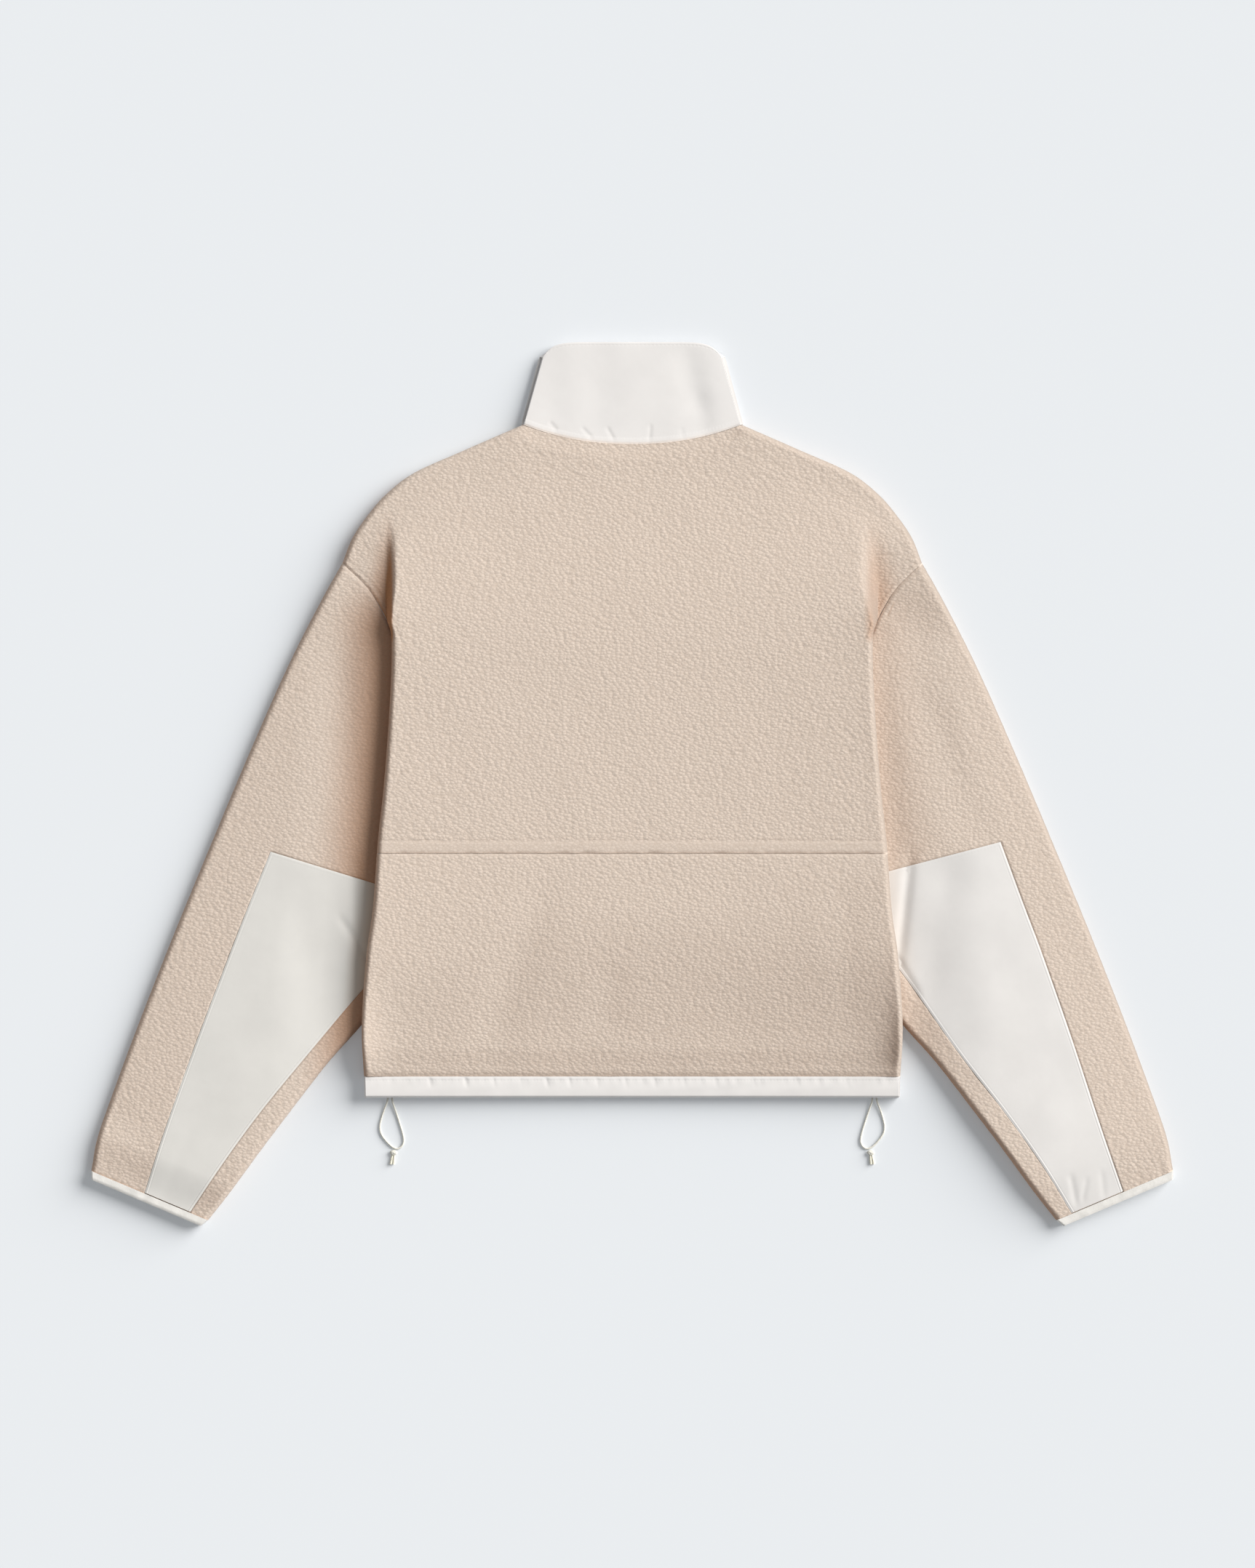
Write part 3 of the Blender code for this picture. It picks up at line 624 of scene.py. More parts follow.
def painted_fold_shadow(place):
    """How much painted shadow lies in the pile outside the fold above each underarm."""
    off, y, left = off_fold(place), place[:, 1], place[:, 0] < 0
    reach = 12.0 + np.maximum(0.0, 225.0 - y) * 0.3
    amount = np.where(left, FOLD_SHADOW_PAINT["left"], FOLD_SHADOW_PAINT["right"])
    begun = settle((off + np.where(left, 2.0, 9.0)) / np.where(left, 3.0, 9.0))
    fade = settle((236.0 - y) / 80.0) * settle((y - COVER_TOP_Y) / 8.0)
    return amount * begun * (1.0 - settle(off / reach)) * fade


def back_neck_y(share):
    return between(BACK_NECK_Y, NECK_Y, share**BACK_NECK_POWER)


def front_neck_y(share):
    return between(FRONT_NECK_Y, NECK_Y, share**FRONT_NECK_POWER)


def body_depth(place):
    x, y = np.abs(place[:, 0]), place[:, 1]
    hem = settle((HEM_Y - y) / HEM_EASE + 1.0)
    neck_y = back_neck_y(np.minimum(1.0, x / NECK_X))
    neck = settle((y - neck_y) / NECK_EASE + 1.0) * settle((NECK_X - x) / NECK_EASE + 0.4)
    return BODY_DEPTH - (BODY_DEPTH - HEM_DEPTH) * hem - NECK_DIP * neck


def body_rims(y):
    return ((shoulder, 1.0), (side, settle((TURN_TOP_Y - y) / TURN_FALL)))


def off_body(own):
    """How far a place on the sleeve lies from the body's edge."""
    x, y = own[:, 0], own[:, 1]
    edge = side.x_at(np.clip(y, HEM_Y, COVER_TOP_Y))
    beyond = np.maximum(0.0, y - PRESSED_TOP_Y) + np.maximum(0.0, HEM_END_Y - y)
    return np.hypot(np.maximum(0.0, x - edge), beyond)


def off_cuff(own):
    x, y = (own - cuff_start[0]).T
    return np.abs(x * -along_cuff[1] + y * along_cuff[0])


def sleeve_depth(own):
    eased_out = settle((off_body(own) - PRESSED_BESIDE) / SLEEVE_EASE)
    held = settle(1.0 - off_cuff(own) / CUFF_EASE)
    return between(between(SLEEVE_PRESSED, SLEEVE_DEPTH, eased_out), CUFF_DEPTH_AT_FLEECE, held)


SLEEVE_FALL = 5.0
BESIDE_DIP, DIP_REACH = 0.9, 26.0


def sleeve_top(own):
    """The dressed sleeve's upper face: sunk beside the body, and falling to its outer fold."""
    outer_away, _ = sleeve_outer.nearest(own)
    inner_away, _ = sleeve_inner.nearest(own)
    share = inner_away / (outer_away + inner_away + 1e-6)
    free = settle(off_body(own) / 45.0) * settle(off_cuff(own) / 60.0)
    free = free * settle((175.0 - own[:, 1]) / 60.0)
    dip = BESIDE_DIP * (1.0 - settle(off_body(own) / DIP_REACH))
    dip = dip * settle((150.0 - own[:, 1]) / 30.0) * settle((own[:, 1] + 90.0) / 60.0)
    return sleeve_depth(own) + SLEEVE_FALL * (0.3 - share**2) * free - dip


# Cloth relief


LOW_BITS = 0x7FFFFFFF
MIXING = ((15, 739982445), (12, 695872825))  # the hash's shifts and factors


def jittered(corner, seed):
    """Three even random shares for each whole-numbered corner."""
    key = corner[:, 0] * 73856093 ^ corner[:, 1] * 19349663 ^ corner[:, 2] * 83492791
    shares = []
    for step in range(3):
        mixed = (key + (seed * 3 + step) * 40503) & LOW_BITS
        for shift, factor in MIXING:
            mixed = ((mixed ^ (mixed >> shift)) * factor) & LOW_BITS
        shares.append((mixed ^ (mixed >> 15)) / LOW_BITS)
    return np.stack(shares, axis=1)


def from_tuft(points, size, seed):
    """How far each point is from its nearest tuft's middle, as a share of the tuft's size."""
    grid = points / size
    base = np.floor(grid).astype(np.int64)
    nearest = np.full(len(points), 9.0)
    steps = (-1, 0, 1)
    for step in ((a, b, c) for a in steps for b in steps for c in steps):
        corner = base + step
        away = np.linalg.norm(corner + jittered(corner, seed) - grid, axis=1)
        nearest = np.minimum(nearest, away)
    return nearest


def ripples(points, size, seed):
    """Soft waves with no pattern to them, from about -1 to 1."""
    draw = np.random.default_rng(seed)
    total = np.zeros(len(points))
    for _ in range(7):
        way = draw.uniform(0.0, 2.0 * math.pi)
        length = size * draw.uniform(0.7, 1.5)
        run = points[:, 0] * math.cos(way) + points[:, 1] * math.sin(way)
        total += np.sin(run * (2.0 * math.pi / length) + draw.uniform(0.0, 6.3))
    return total / 3.0


def creased(place, folds):
    """Depth of the soft folds given as x1, y1, x2, y2, width, depth."""
    total = np.zeros(len(place))
    for x1, y1, x2, y2, width, deep in folds:
        start, run = np.array((x1, y1)), np.array((x2 - x1, y2 - y1))
        along = (place - start) @ run / (run @ run)
        off = (place - start) @ np.array((-run[1], run[0])) / math.hypot(*run)
        ends = settle(np.minimum(along + 0.35, 1.35 - along) / 0.5)
        total += deep * ends * bell(off, width)
    return total


def stitched(along, across, pitch, depth, width=0.45):
    """A sunk row of stitches: a groove with a raised thread in each pitch."""
    thread = 0.5 - 0.5 * np.cos(2.0 * math.pi * along / pitch)
    return depth * bell(across, width) * (1.0 - 0.8 * thread)


# Meshes


def eased(t, share):
    """Even steps that close up over the last share of them, as a folded edge needs."""
    last = 2.0 * share / (2.0 * share + math.pi * (1.0 - share))
    rest = (1.0 - last) * t / (1.0 - share)
    turn = (1.0 - last) + last * np.sin(math.pi / 2 * (t - (1.0 - share)) / share)
    return np.where(t < 1.0 - share, rest, turn)


def eased_ends(t, share):
    """The same at both ends."""
    half = eased(np.abs(2.0 * t - 1.0), share)
    return 0.5 + 0.5 * half * np.sign(t - 0.5)


def drawn_grid(mesh, columns, rows, level):
    made = bmesh.ops.create_grid(
        mesh,
        x_segments=columns,
        y_segments=rows,
        size=0.5,
        matrix=Matrix.Translation((0.5, 0.5, level)),
    )
    return made["verts"]


def drawn_tube(mesh, columns, rows, radius):
    def own(point):
        return abs(math.hypot(point.co.x, point.co.y) - radius) < 0.1

    ends = [mesh.verts.new((radius, 0.0, height)) for height in (0.0, 1.0)]
    bmesh.ops.subdivide_edges(mesh, edges=[mesh.edges.new(ends)], cuts=rows - 1)
    points = [point for point in mesh.verts if own(point)]
    edges = [edge for edge in mesh.edges if own(edge.verts[0])]
    bmesh.ops.spin(
        mesh,
        geom=points + edges,
        cent=(0.0, 0.0, 0.0),
        axis=(0.0, 0.0, 1.0),
        angle=2.0 * math.pi,
        steps=columns,
        use_merge=True,
    )


CUT_EDGE = math.radians(52.0)  # a sharper turn than this is a cut or stitched edge
NO_SHARE = 1e-4  # a share closer than this to 0 or 1 is the end itself


def at_end(share):
    return (share < NO_SHARE) | (share > 1.0 - NO_SHARE)


def wall(name, columns, rows, surface, coarse=8, tube=False):
    """A closed wall of cloth: a fine outer face and a coarse inner one, joined at the rim.

    surface(u, v, inner) gives the places of the outer or the inner face, in mm.
    Returns the object, and each point's place, its v and whether it is an inner one.
    """
    mesh = bmesh.new()
    if tube:
        drawn_tube(mesh, columns, rows, 1.0)
        drawn_tube(mesh, columns // coarse, rows // coarse, 0.5)
    else:
        drawn_grid(mesh, columns, rows, 1.0)
        drawn_grid(mesh, columns // coarse, rows // coarse, 0.0)
    rim = [edge for edge in mesh.edges if edge.is_boundary]
    if tube:
        for end in (0.0, 1.0):
            own = [edge for edge in rim if abs(edge.verts[0].co.z - end) < NO_SHARE]
            bmesh.ops.bridge_loops(mesh, edges=own)
    else:
        bmesh.ops.bridge_loops(mesh, edges=rim)
    bmesh.ops.recalc_face_normals(mesh, faces=mesh.faces)
    data = drawn(name, mesh)
    flat = np.empty(len(data.vertices) * 3, np.float32)
    data.vertices.foreach_get("co", flat)
    flat = flat.reshape(-1, 3).astype(float)
    if tube:
        inner = np.hypot(flat[:, 0], flat[:, 1]) < 0.75
        u = np.arctan2(flat[:, 1], flat[:, 0]) / (2.0 * math.pi) % 1.0
        u[u > 1.0 - 1e-5] = 0.0
        v = flat[:, 2]
    else:
        inner = flat[:, 2] < 0.5
        u, v = flat[:, 0], flat[:, 1]
    u, v = np.clip(u, 0.0, 1.0), np.clip(v, 0.0, 1.0)
    places = np.empty_like(flat)
    for part, chosen in ((False, ~inner), (True, inner)):
        places[chosen] = surface(u[chosen], v[chosen], part)
    moved_to(data, places)
    if signed_volume(data, places) < 0:
        data.flip_normals()
    data.shade_smooth()
    data.set_sharp_from_angle(angle=CUT_EDGE)
    cut = at_end(v) if tube else at_end(v) | at_end(u)
    # Painted shade on faces turned towards the lamp, for the cloths that read it.
    attribute(data, "lamp_side_shade", np.where(cut, 0.0, toward_lamp_shade(normals_of(data))))
    return placed(name, data), places, v, inner


def moved_to(data, places):
    data.vertices.foreach_set("co", (places * MM).astype(np.float32).ravel())
    data.update()


def signed_volume(data, places):
    data.calc_loop_triangles()
    corners = np.empty(len(data.loop_triangles) * 3, np.int32)
    data.loop_triangles.foreach_get("vertices", corners)
    a, b, c = places[corners.reshape(-1, 3)].transpose(1, 0, 2)
    return float(np.einsum("ij,ij->", a, np.cross(b, c)))


def normals_of(data):
    found = np.empty(len(data.vertices) * 3, np.float32)
    data.vertices.foreach_get("normal", found)
    return found.reshape(-1, 3).astype(float)


def attribute(data, name, values):
    made = data.attributes.new(name, "FLOAT", "POINT")
    made.data.foreach_set("value", values.astype(np.float32))


# Painted shade: faces turned towards the lamp are dulled to tone down their light, and faces
# turned away from it get a browner painted shadow.
LAMP_WAY = np.array((math.cos(KEY_TURN), math.sin(KEY_TURN)))
TOWARD_LAMP_SHARE, AWAY_FROM_LAMP_SHADOW = 0.9, 0.7


def toward_lamp_shade(normal):
    return TOWARD_LAMP_SHARE * np.clip(normal[:, :2] @ LAMP_WAY, 0.0, 1.0)


FLOOR_GAP = 0.15
MESH_TUFT = 3.4
TUFT_RELIEF = 0.18
SWELL = 0.08


def grow_pile(made, places, inner, seed, kept, painted_shade=0.0):
    """Raises the tufts on the outer face. kept is 1 in the open, and less at a seam. The last
    argument is painted shadow in the pile's colour, and faces turned away from the lamp get
    more of it.
    """
    outer = ~inner
    normal = normals_of(made.data)
    tuft = 1.0 - np.clip(from_tuft(places[outer], MESH_TUFT, seed) / 0.85, 0.0, 1.0) ** 2
    swell = ripples(places[outer], 85.0, seed) * SWELL * np.clip(normal[outer, 2], 0.0, 1.0)
    height = (tuft - 0.55) * TUFT_RELIEF
    grown = places.copy()
    grown[outer] += normal[outer] * (height * kept[outer] + swell)[:, None]
    grown[:, 2] = np.maximum(grown[:, 2], FLOOR_GAP)
    moved_to(made.data, grown)
    shade = np.ones(len(places))
    shade[outer] = tuft
    attribute(made.data, "tuft", shade)
    attribute(made.data, "kept", kept)
    # Painted shadow on faces turned away from the lamp, added to the given painted shadow.
    turn_shade = np.clip(-normal[:, :2] @ LAMP_WAY, 0.0, 1.0)
    attribute(made.data, "painted_shade", np.clip(turn_shade * AWAY_FROM_LAMP_SHADOW + painted_shade, 0.0, 1.0))


def finish_piece(made, cloth, node):
    made.data.materials.append(cloth)
    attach(made, "root")
    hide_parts(node)


# Cords

CORD_RADIUS = 0.8
CORD_REST = CORD_RADIUS + 0.1
CORD_LEVEL = 2.3
CORD_ROUTE = (
    (-208.4, -267.9, CORD_LEVEL), (-209.3, -272.0, 2.0), (-211.4, -277.5, 1.4),
    (-213.6, -284.0, CORD_REST), (-215.1, -290.0, CORD_REST), (-215.3, -295.0, CORD_REST),
    (-213.6, -300.0, CORD_REST), (-210.2, -304.6, CORD_REST), (-206.6, -308.4, CORD_REST),
    (-203.0, -310.9, CORD_REST), (-199.3, -311.3, CORD_REST), (-196.3, -308.8, CORD_REST),
    (-194.9, -304.8, CORD_REST), (-195.6, -299.6, CORD_REST), (-197.4, -293.2, CORD_REST),
    (-199.8, -285.6, CORD_REST), (-202.4, -277.8, 1.4), (-204.4, -272.0, 2.0),
    (-205.0, -267.9, CORD_LEVEL),
)
KNOT_PLACE, KNOT_LEVEL = (-203.6, -314.7), 1.85
KNOT_SIZE = (6.0, 4.4, 3.3)
STRAND_RISE = 0.09  # of the knot's half size
TAIL_END = (-204.9, -324.2)
TAIL_LENGTH, TAIL_LEVEL = 9.0, 1.3
SIDES = (("left", -1.0), ("right", 1.0))


def cord_line(name, points, radius, cloth):
    data = bpy.data.curves.new(name, "CURVE")
    data.dimensions = "3D"
    data.bevel_depth = radius * MM
    data.bevel_resolution = 3
    data.use_fill_caps = True
    line = data.splines.new("POLY")
    line.points.add(len(points) - 1)
    for point, place in zip(line.points, points):
        point.co = (*(np.array(place) * MM), 1.0)
    data.materials.append(cloth)
    return placed(name, data)


def knot(name, sign, cloth):
    """Two turns of the cord drawn tight, on a rounded core."""
    mesh = bmesh.new()
    bmesh.ops.create_uvsphere(mesh, u_segments=24, v_segments=16, radius=0.5)
    for point in mesh.verts:
        turn = math.atan2(point.co.y, point.co.x)
        strand = math.cos(point.co.z * 16.0 + turn * 2.0)
        point.co *= 1.0 + STRAND_RISE * strand
    bmesh.ops.scale(mesh, verts=mesh.verts, vec=Vector(KNOT_SIZE) * MM)
    x, y = KNOT_PLACE
    centre = Vector((-sign * x, y, KNOT_LEVEL)) * MM
    bmesh.ops.translate(mesh, verts=mesh.verts, vec=centre)
    data = drawn(name, mesh)
    data.shade_smooth()
    data.materials.append(cloth)
    return placed(name, data)


def tail(name, sign, cloth):
    """The two cut ends, laid side by side below the knot."""
    mesh = bmesh.new()
    start, end = np.array(KNOT_PLACE), np.array(TAIL_END)
    run = end - start
    for offset in (-1.0, 1.0):
        rod = bmesh.ops.create_cone(
            mesh, cap_ends=True, segments=16, radius1=1.05, radius2=0.8, depth=TAIL_LENGTH
        )
        laid = Matrix.Rotation(-math.pi / 2, 3, "X")
        slant = Matrix.Rotation(math.atan2(run[0], -run[1]) + offset * 0.06, 3, "Z")
        for turn in (laid, slant):
            bmesh.ops.rotate(mesh, verts=rod["verts"], cent=(0, 0, 0), matrix=turn)
        middle = start + run * 0.58
        place = Vector((middle[0] + offset, middle[1], TAIL_LEVEL))
        bmesh.ops.translate(mesh, verts=rod["verts"], vec=place)
    bmesh.ops.scale(mesh, verts=mesh.verts, vec=Vector((-sign, 1.0, 1.0)) * MM)
    bmesh.ops.recalc_face_normals(mesh, faces=mesh.faces)
    data = drawn(name, mesh)
    data.shade_smooth()
    data.set_sharp_from_angle(angle=math.radians(50))
    data.materials.append(cloth)
    return placed(name, data)


def lay_cords():
    braid = cord_cloth("elastic_cord", CORD_COLOUR)
    bleached = cord_cloth("cord_tail", TAIL_COLOUR)
    route = Line(CORD_ROUTE)
    points = route.at(np.linspace(0.0, 1.0, 60))
    for which, sign in SIDES:
        own = points * (-sign, 1.0, 1.0)
        line = cord_line(f"elastic_{which}", own, CORD_RADIUS, braid)
        tied = knot(f"knot_{which}", sign, braid)
        ends = tail(f"tail_{which}", sign, bleached)
        for piece in (line, tied, ends):
            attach(piece, "root")
        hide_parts(f"cord_{which}")
        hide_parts(f"cord_end_{which}")


# Body

BACK_FOLDS = (
    (-80.0, -100.0, -117.0, -212.0, 20.0, 0.9), (-18.0, -162.0, -24.0, -205.0, 16.0, 0.5),
    (180.0, -95.0, 186.0, -200.0, 14.0, 0.3),
)
FURROW = 0.32
SHOWN_Y, SHOWN_EASE = 120.0, 12.0  # below this the armhole seam is hidden
ARMHOLE_TO_CUFF = 480.0


def body_outer(place, upward):
    """Outer face of the back, or of the fronts that lie on the surface."""
    own = mirrored(place)
    drop, inward = turned_edge(own, body_rims(own[:, 1]), FLEECE)
    arm_drop, arm_inward = turned_edge(own, ((shoulder, 1.0),), FLEECE)
    past = past_fold(place)
    inward = between(inward, arm_inward, past[:, None])
    inner = signed(own + inward, np.where(place[:, 0] < 0, -1.0, 1.0))
    depth = body_depth(own)
    half = (depth - CURVED_SEAM) / 2
    if upward:
        top = drape(own) + depth
        arm = sleeve_top(own)
        outer = between(top - half * drop, arm - arm / 2 * arm_drop, past)
        below = between(
            top - FLEECE - (half - FLEECE) * drop,
            arm - FLEECE - (arm / 2 - FLEECE) * arm_drop,
            past,
        )
        return outer, inner, below
    low, drop = body_lift(own) * (1.0 - past), between(drop, arm_drop, past)
    return low + half * drop, inner, low + FLEECE + (half - FLEECE) * drop


def folded_back(place):
    top, inside, below = body_outer(place, True)
    fold = creased(place, BACK_FOLDS)
    return top - fold, inside, below - fold


def furrow(place, from_seam):
    """The back seam's uneven groove."""
    return FURROW * bell(from_seam, 1.2) * (1.0 + 0.8 * ripples(place, 16.0, 5))


def half_panel(neck, inner_x, seam_y):
    seam_x = float(side.x_at(seam_y))
    rows = [p for p in side.points if p[1] > seam_y]
    edge = Line([*rows, (seam_x, seam_y)], smooth=False)
    top_y = neck.points[0][1]

    def top(u):
        on_neck = neck.at(u / NECK_SHARE)
        on_shoulder = shoulder.at((u - NECK_SHARE) / (1 - NECK_SHARE))
        return np.where((u < NECK_SHARE)[:, None], on_neck, on_shoulder)

    def level(u):
        return np.stack([between(inner_x, seam_x, u), np.full(len(u), seam_y)], axis=1)

    def middle(v):
        return np.stack([np.full(len(v), inner_x), between(top_y, seam_y, v)], axis=1)

    return four_sided(top, level, middle, edge.at)


def neck_line(inner_x, height):
    x = np.linspace(inner_x, NECK_X, 41)
    return Line(np.stack([x, height(x / NECK_X)], axis=1), smooth=False)


def lay_back(cloth):
    upper = half_panel(neck_line(0.0, back_neck_y), 0.0, SEAM_Y + HAIR / 2)
    length = BACK_NECK_Y - SEAM_Y

    def upper_face(u, v, inner):
        across = eased(np.abs(2.0 * u - 1.0), 0.05)
        down = 1.0 - eased(v, 0.035)
        place = signed(upper(across, down), np.where(u < 0.5, -1.0, 1.0))
        top, inside, below = folded_back(place)
        if inner:
            return np.column_stack([inside, below])
        from_seam = place[:, 1] - SEAM_Y
        top += WELT_RISE * 0.6 * settle((WELT - from_seam) / 1.4 + 0.5)
        top -= 0.25 * bell(from_seam - WELT - 0.8, 0.8)
        top -= furrow(place, from_seam)
        from_armhole, _ = armhole.nearest(mirrored(place))
        shown = settle((place[:, 1] - SHOWN_Y) / SHOWN_EASE)
        top -= shown * 0.6 * bell(from_armhole, 1.3)
        top -= shown * 0.3 * bell(from_armhole - 5.0, 0.9)
        return np.column_stack([place, top])

    made, places, v, inner = wall("back_pile", 344, 272, upper_face)
    from_seam = places[:, 1] - SEAM_Y
    kept = 0.4 + 0.6 * settle((from_seam - WELT) / 2.0)
    kept = kept * (0.5 + 0.5 * settle(v * length / 3.0))
    # Painted shadow outside the fold.
    grow_pile(made, places, inner, 11, kept, painted_fold_shadow(places))
    finish_piece(made, cloth, "back_upper")

    def lower_face(u, v, inner):
        y = between(HEM_Y + HAIR / 2, SEAM_Y - HAIR / 2, v)
        across = eased(np.abs(2.0 * u - 1.0), 0.05) * np.where(u < 0.5, -1.0, 1.0)
        place = np.stack([side.x_at(y) * across, y], axis=1)
        top, inside, below = folded_back(place)
        if inner:
            return np.column_stack([inside, below])
        top -= furrow(place, SEAM_Y - y)
        top -= 0.9 * bell(y - HEM_Y, 2.6)
        return np.column_stack([place, top])

    made, places, _, inner = wall("lower_back_pile", 360, 152, lower_face)
    kept = 0.4 + 0.6 * settle((SEAM_Y - places[:, 1] - 1.0) / 2.5)
    kept = kept * (0.4 + 0.6 * settle((places[:, 1] - HEM_Y - 0.5) / 2.5))
    grow_pile(made, places, inner, 11, kept)
    finish_piece(made, cloth, "back_lower")


def lay_fronts(cloth):
    upper = half_panel(neck_line(FRONT_EDGE_X, front_neck_y), FRONT_EDGE_X, SEAM_Y)
    parting = (NECK_Y - SEAM_Y) / (NECK_Y - HEM_Y)
    for seed, (which, sign) in enumerate(SIDES):

        def face(u, v, inner, sign=sign):
            down = 1.0 - v
            across = eased(u, 0.06)
            high = upper(across, 1.0 - np.clip(eased(1.0 - down / parting, 0.05), 0.0, 1.0))
            lower = np.clip((down - parting) / (1 - parting), 0, 1)
            y = between(SEAM_Y, HEM_Y + SEAM / 2, lower)
            low = np.stack([between(FRONT_EDGE_X, side.x_at(y), across), y], axis=1)
            place = np.where((down <= parting)[:, None], high, low) * (sign, 1.0)
            below, inside, above = body_outer(place, False)
            if inner:
                return np.column_stack([inside, above])
            return np.column_stack([place, below])

        made, places, _, inner = wall(f"front_pile_{which}", 104, 248, face)
        # Painted shadow outside the fold, and over the left front's outer part, where the
        # body's edge lies in shade.
        painted_shadow = painted_fold_shadow(places)
        if which == "left":
            painted_shadow += 0.8 * settle((np.abs(places[:, 0]) - 190.0) / 8.0)
        grow_pile(made, places, inner, 31 + seed, np.full(len(places), 0.8), painted_shadow)
        finish_piece(made, cloth, f"front_{which}")


TOP_COLUMNS = 0.74  # of a tube's columns, how many lie on its upper side


def tube_share(u, fold):
    """Share across a flattened tube from its outer fold to its inner one, and its layer."""
    top = u <= TOP_COLUMNS
    share = np.where(top, u / TOP_COLUMNS, (1.0 - u) / (1.0 - TOP_COLUMNS))
    return eased_ends(share, fold), top


def tube_face(inner, place, top, depth, thickness, rims, radius, along=None):
    """The outer or the inner face of a flattened tube.

    Where along is given, the wall's inner side moves in only that way.
    """
    drop, inward = turned_edge(place, rims, thickness, radius)
    if along is not None:
        inward = np.outer(inward @ along, along)
    z = thickness + (depth / 2 - thickness) * drop if inner else depth / 2 * drop
    z = np.where(top, depth - z, z)
    return np.column_stack([place + inward if inner else place, z])


class Patch:
    """The plan of one elbow panel."""

    def __init__(self, outer, inner):
        self.outer, self.inner = Line(outer), Line(inner)
        self.top = Line([outer[0], inner[0]], smooth=False)
        self.place = four_sided(
            lambda u: self.level(0.0, u),
            lambda u: self.level(1.0, u),
            self.outer.at,
            self.inner.at,
        )

    def level(self, share, u):
        start, end = self.outer.at(share), self.inner.at(share)
        return start + np.outer(u, end - start)

    def inside(self, own):
        """How far inside the outline each place lies, and less than 0 outside it."""
        x, y = own[:, 0], own[:, 1]
        aways = [edge.nearest(own)[0] for edge in (self.outer, self.inner, self.top)]
        _, way = self.top.nearest(own)
        foot = self.top.points[0]
        below = (x - foot[0]) * way[:, 0] + (y - foot[1]) * way[:, 1] < 0
        within = (x < self.outer.x_at(y)) & (x > self.inner.x_at(y)) & below
        return np.minimum.reduce(aways) * np.where(within, 1.0, -1.0)


patches = {which: Patch(*rows) for which, rows in PATCHES.items()}
PANEL_SINK = 1.1  # how far the pile is pressed down under a panel
PANEL_RISE = 0.3
ARM_FOLDS = {
    "left": (
        (-236.0, -66.0, -234.0, -150.0, 6.0, 0.9), (-246.0, -118.0, -224.0, -150.0, 4.0, 0.8),
        (-280.0, -100.0, -270.0, -200.0, 18.0, 0.7), (-250.0, 96.0, -240.0, 0.0, 16.0, 1.0),
    ),
    "right": (
        (236.0, -72.0, 228.0, -146.0, 5.0, 1.3), (226.0, -150.0, 242.0, -178.0, 4.0, 1.0),
        (268.0, -70.0, 256.0, -170.0, 16.0, 0.8), (256.0, 60.0, 292.0, -40.0, 18.0, 1.1),
    ),
}


def arm_level(own, which):
    """The sleeve's upper face with its folds."""
    laid = own * ((-1.0, 1.0) if which == "left" else (1.0, 1.0))
    return sleeve_top(own) - creased(laid, ARM_FOLDS[which])


def arm_top(own, which):
    """The same, pressed down under the panel."""
    return arm_level(own, which) - PANEL_SINK * settle((patches[which].inside(own) + 0.4) / 1.4)


PANEL_FOLDS = {
    "left": (
        (-256.0, -96.0, -262.0, -176.0, 10.0, 0.3),
        (-378.0, -300.0, -398.0, -346.0, 6.0, 0.12),
    ),
    "right": (
        (374.0, -336.0, 378.0, -356.0, 3.0, 0.35), (387.0, -338.0, 384.0, -354.0, 2.6, 0.25),
        (400.0, -332.0, 402.0, -350.0, 2.8, 0.2),
    ),
}
# Painted shade on the panels beside the body, more on the left, where the body's shadow falls.
PANEL_SHADOW_SHARE = {"left": 0.75, "right": 0.2}
HEM_TURN = 1.6  # across the turned edge of an elbow panel
PANEL_STITCH = 2.4


def lay_sleeves(cloth):
    plan = four_sided(
        lambda u: armhole.at(u) + OFF_ARMHOLE,
        lambda u: cuff_start[0] + np.outer(u, cuff_start[1] - cuff_start[0]),
        sleeve_outer.at,
        sleeve_inner.at,
    )
    rims = ((sleeve_outer, 1.0), (Flipped(sleeve_inner), 1.0))
    for seed, (which, sign) in enumerate(SIDES):

        def face(u, v, inner, sign=sign, which=which):
            share, top = tube_share(u, 0.07)
            place = plan(share, 1.0 - v)
            depth = arm_top(place, which)
            found = tube_face(inner, place, top, depth, FLEECE, rims, EDGE_RADIUS)
            if not inner:
                shown = settle((place[:, 1] - SHOWN_Y) / SHOWN_EASE) * top
                found[:, 2] -= shown * 0.6 * bell((1.0 - v) * ARMHOLE_TO_CUFF, 1.3)
                found[:, 2] -= np.where(top, 0.3, 0.0) * bell(off_cuff(place), 1.2)
            return found * (sign, 1.0, 1.0)

        made, places, v, inner = wall(f"sleeve_pile_{which}", 200, 416, face, tube=True)
        own = mirrored(places)
        kept = 0.5 + 0.5 * settle((1.0 - v) * ARMHOLE_TO_CUFF / 3.0)
        covered = settle(patches[which].inside(own) + 1.0) * (places[:, 2] > 8.0)
        kept = kept * (1.0 - 0.9 * covered)
        # Painted shadow beside the body's edge, much more on the left, where the body's shadow
        # falls.
        painted_shadow = BODY_SHADOW_PAINT[which] * (1.0 - settle(off_body(own) / BODY_SHADOW_REACH))
        grow_pile(made, places, inner, 51 + seed, kept, painted_shadow)
        finish_piece(made, cloth, f"sleeve_{which}")


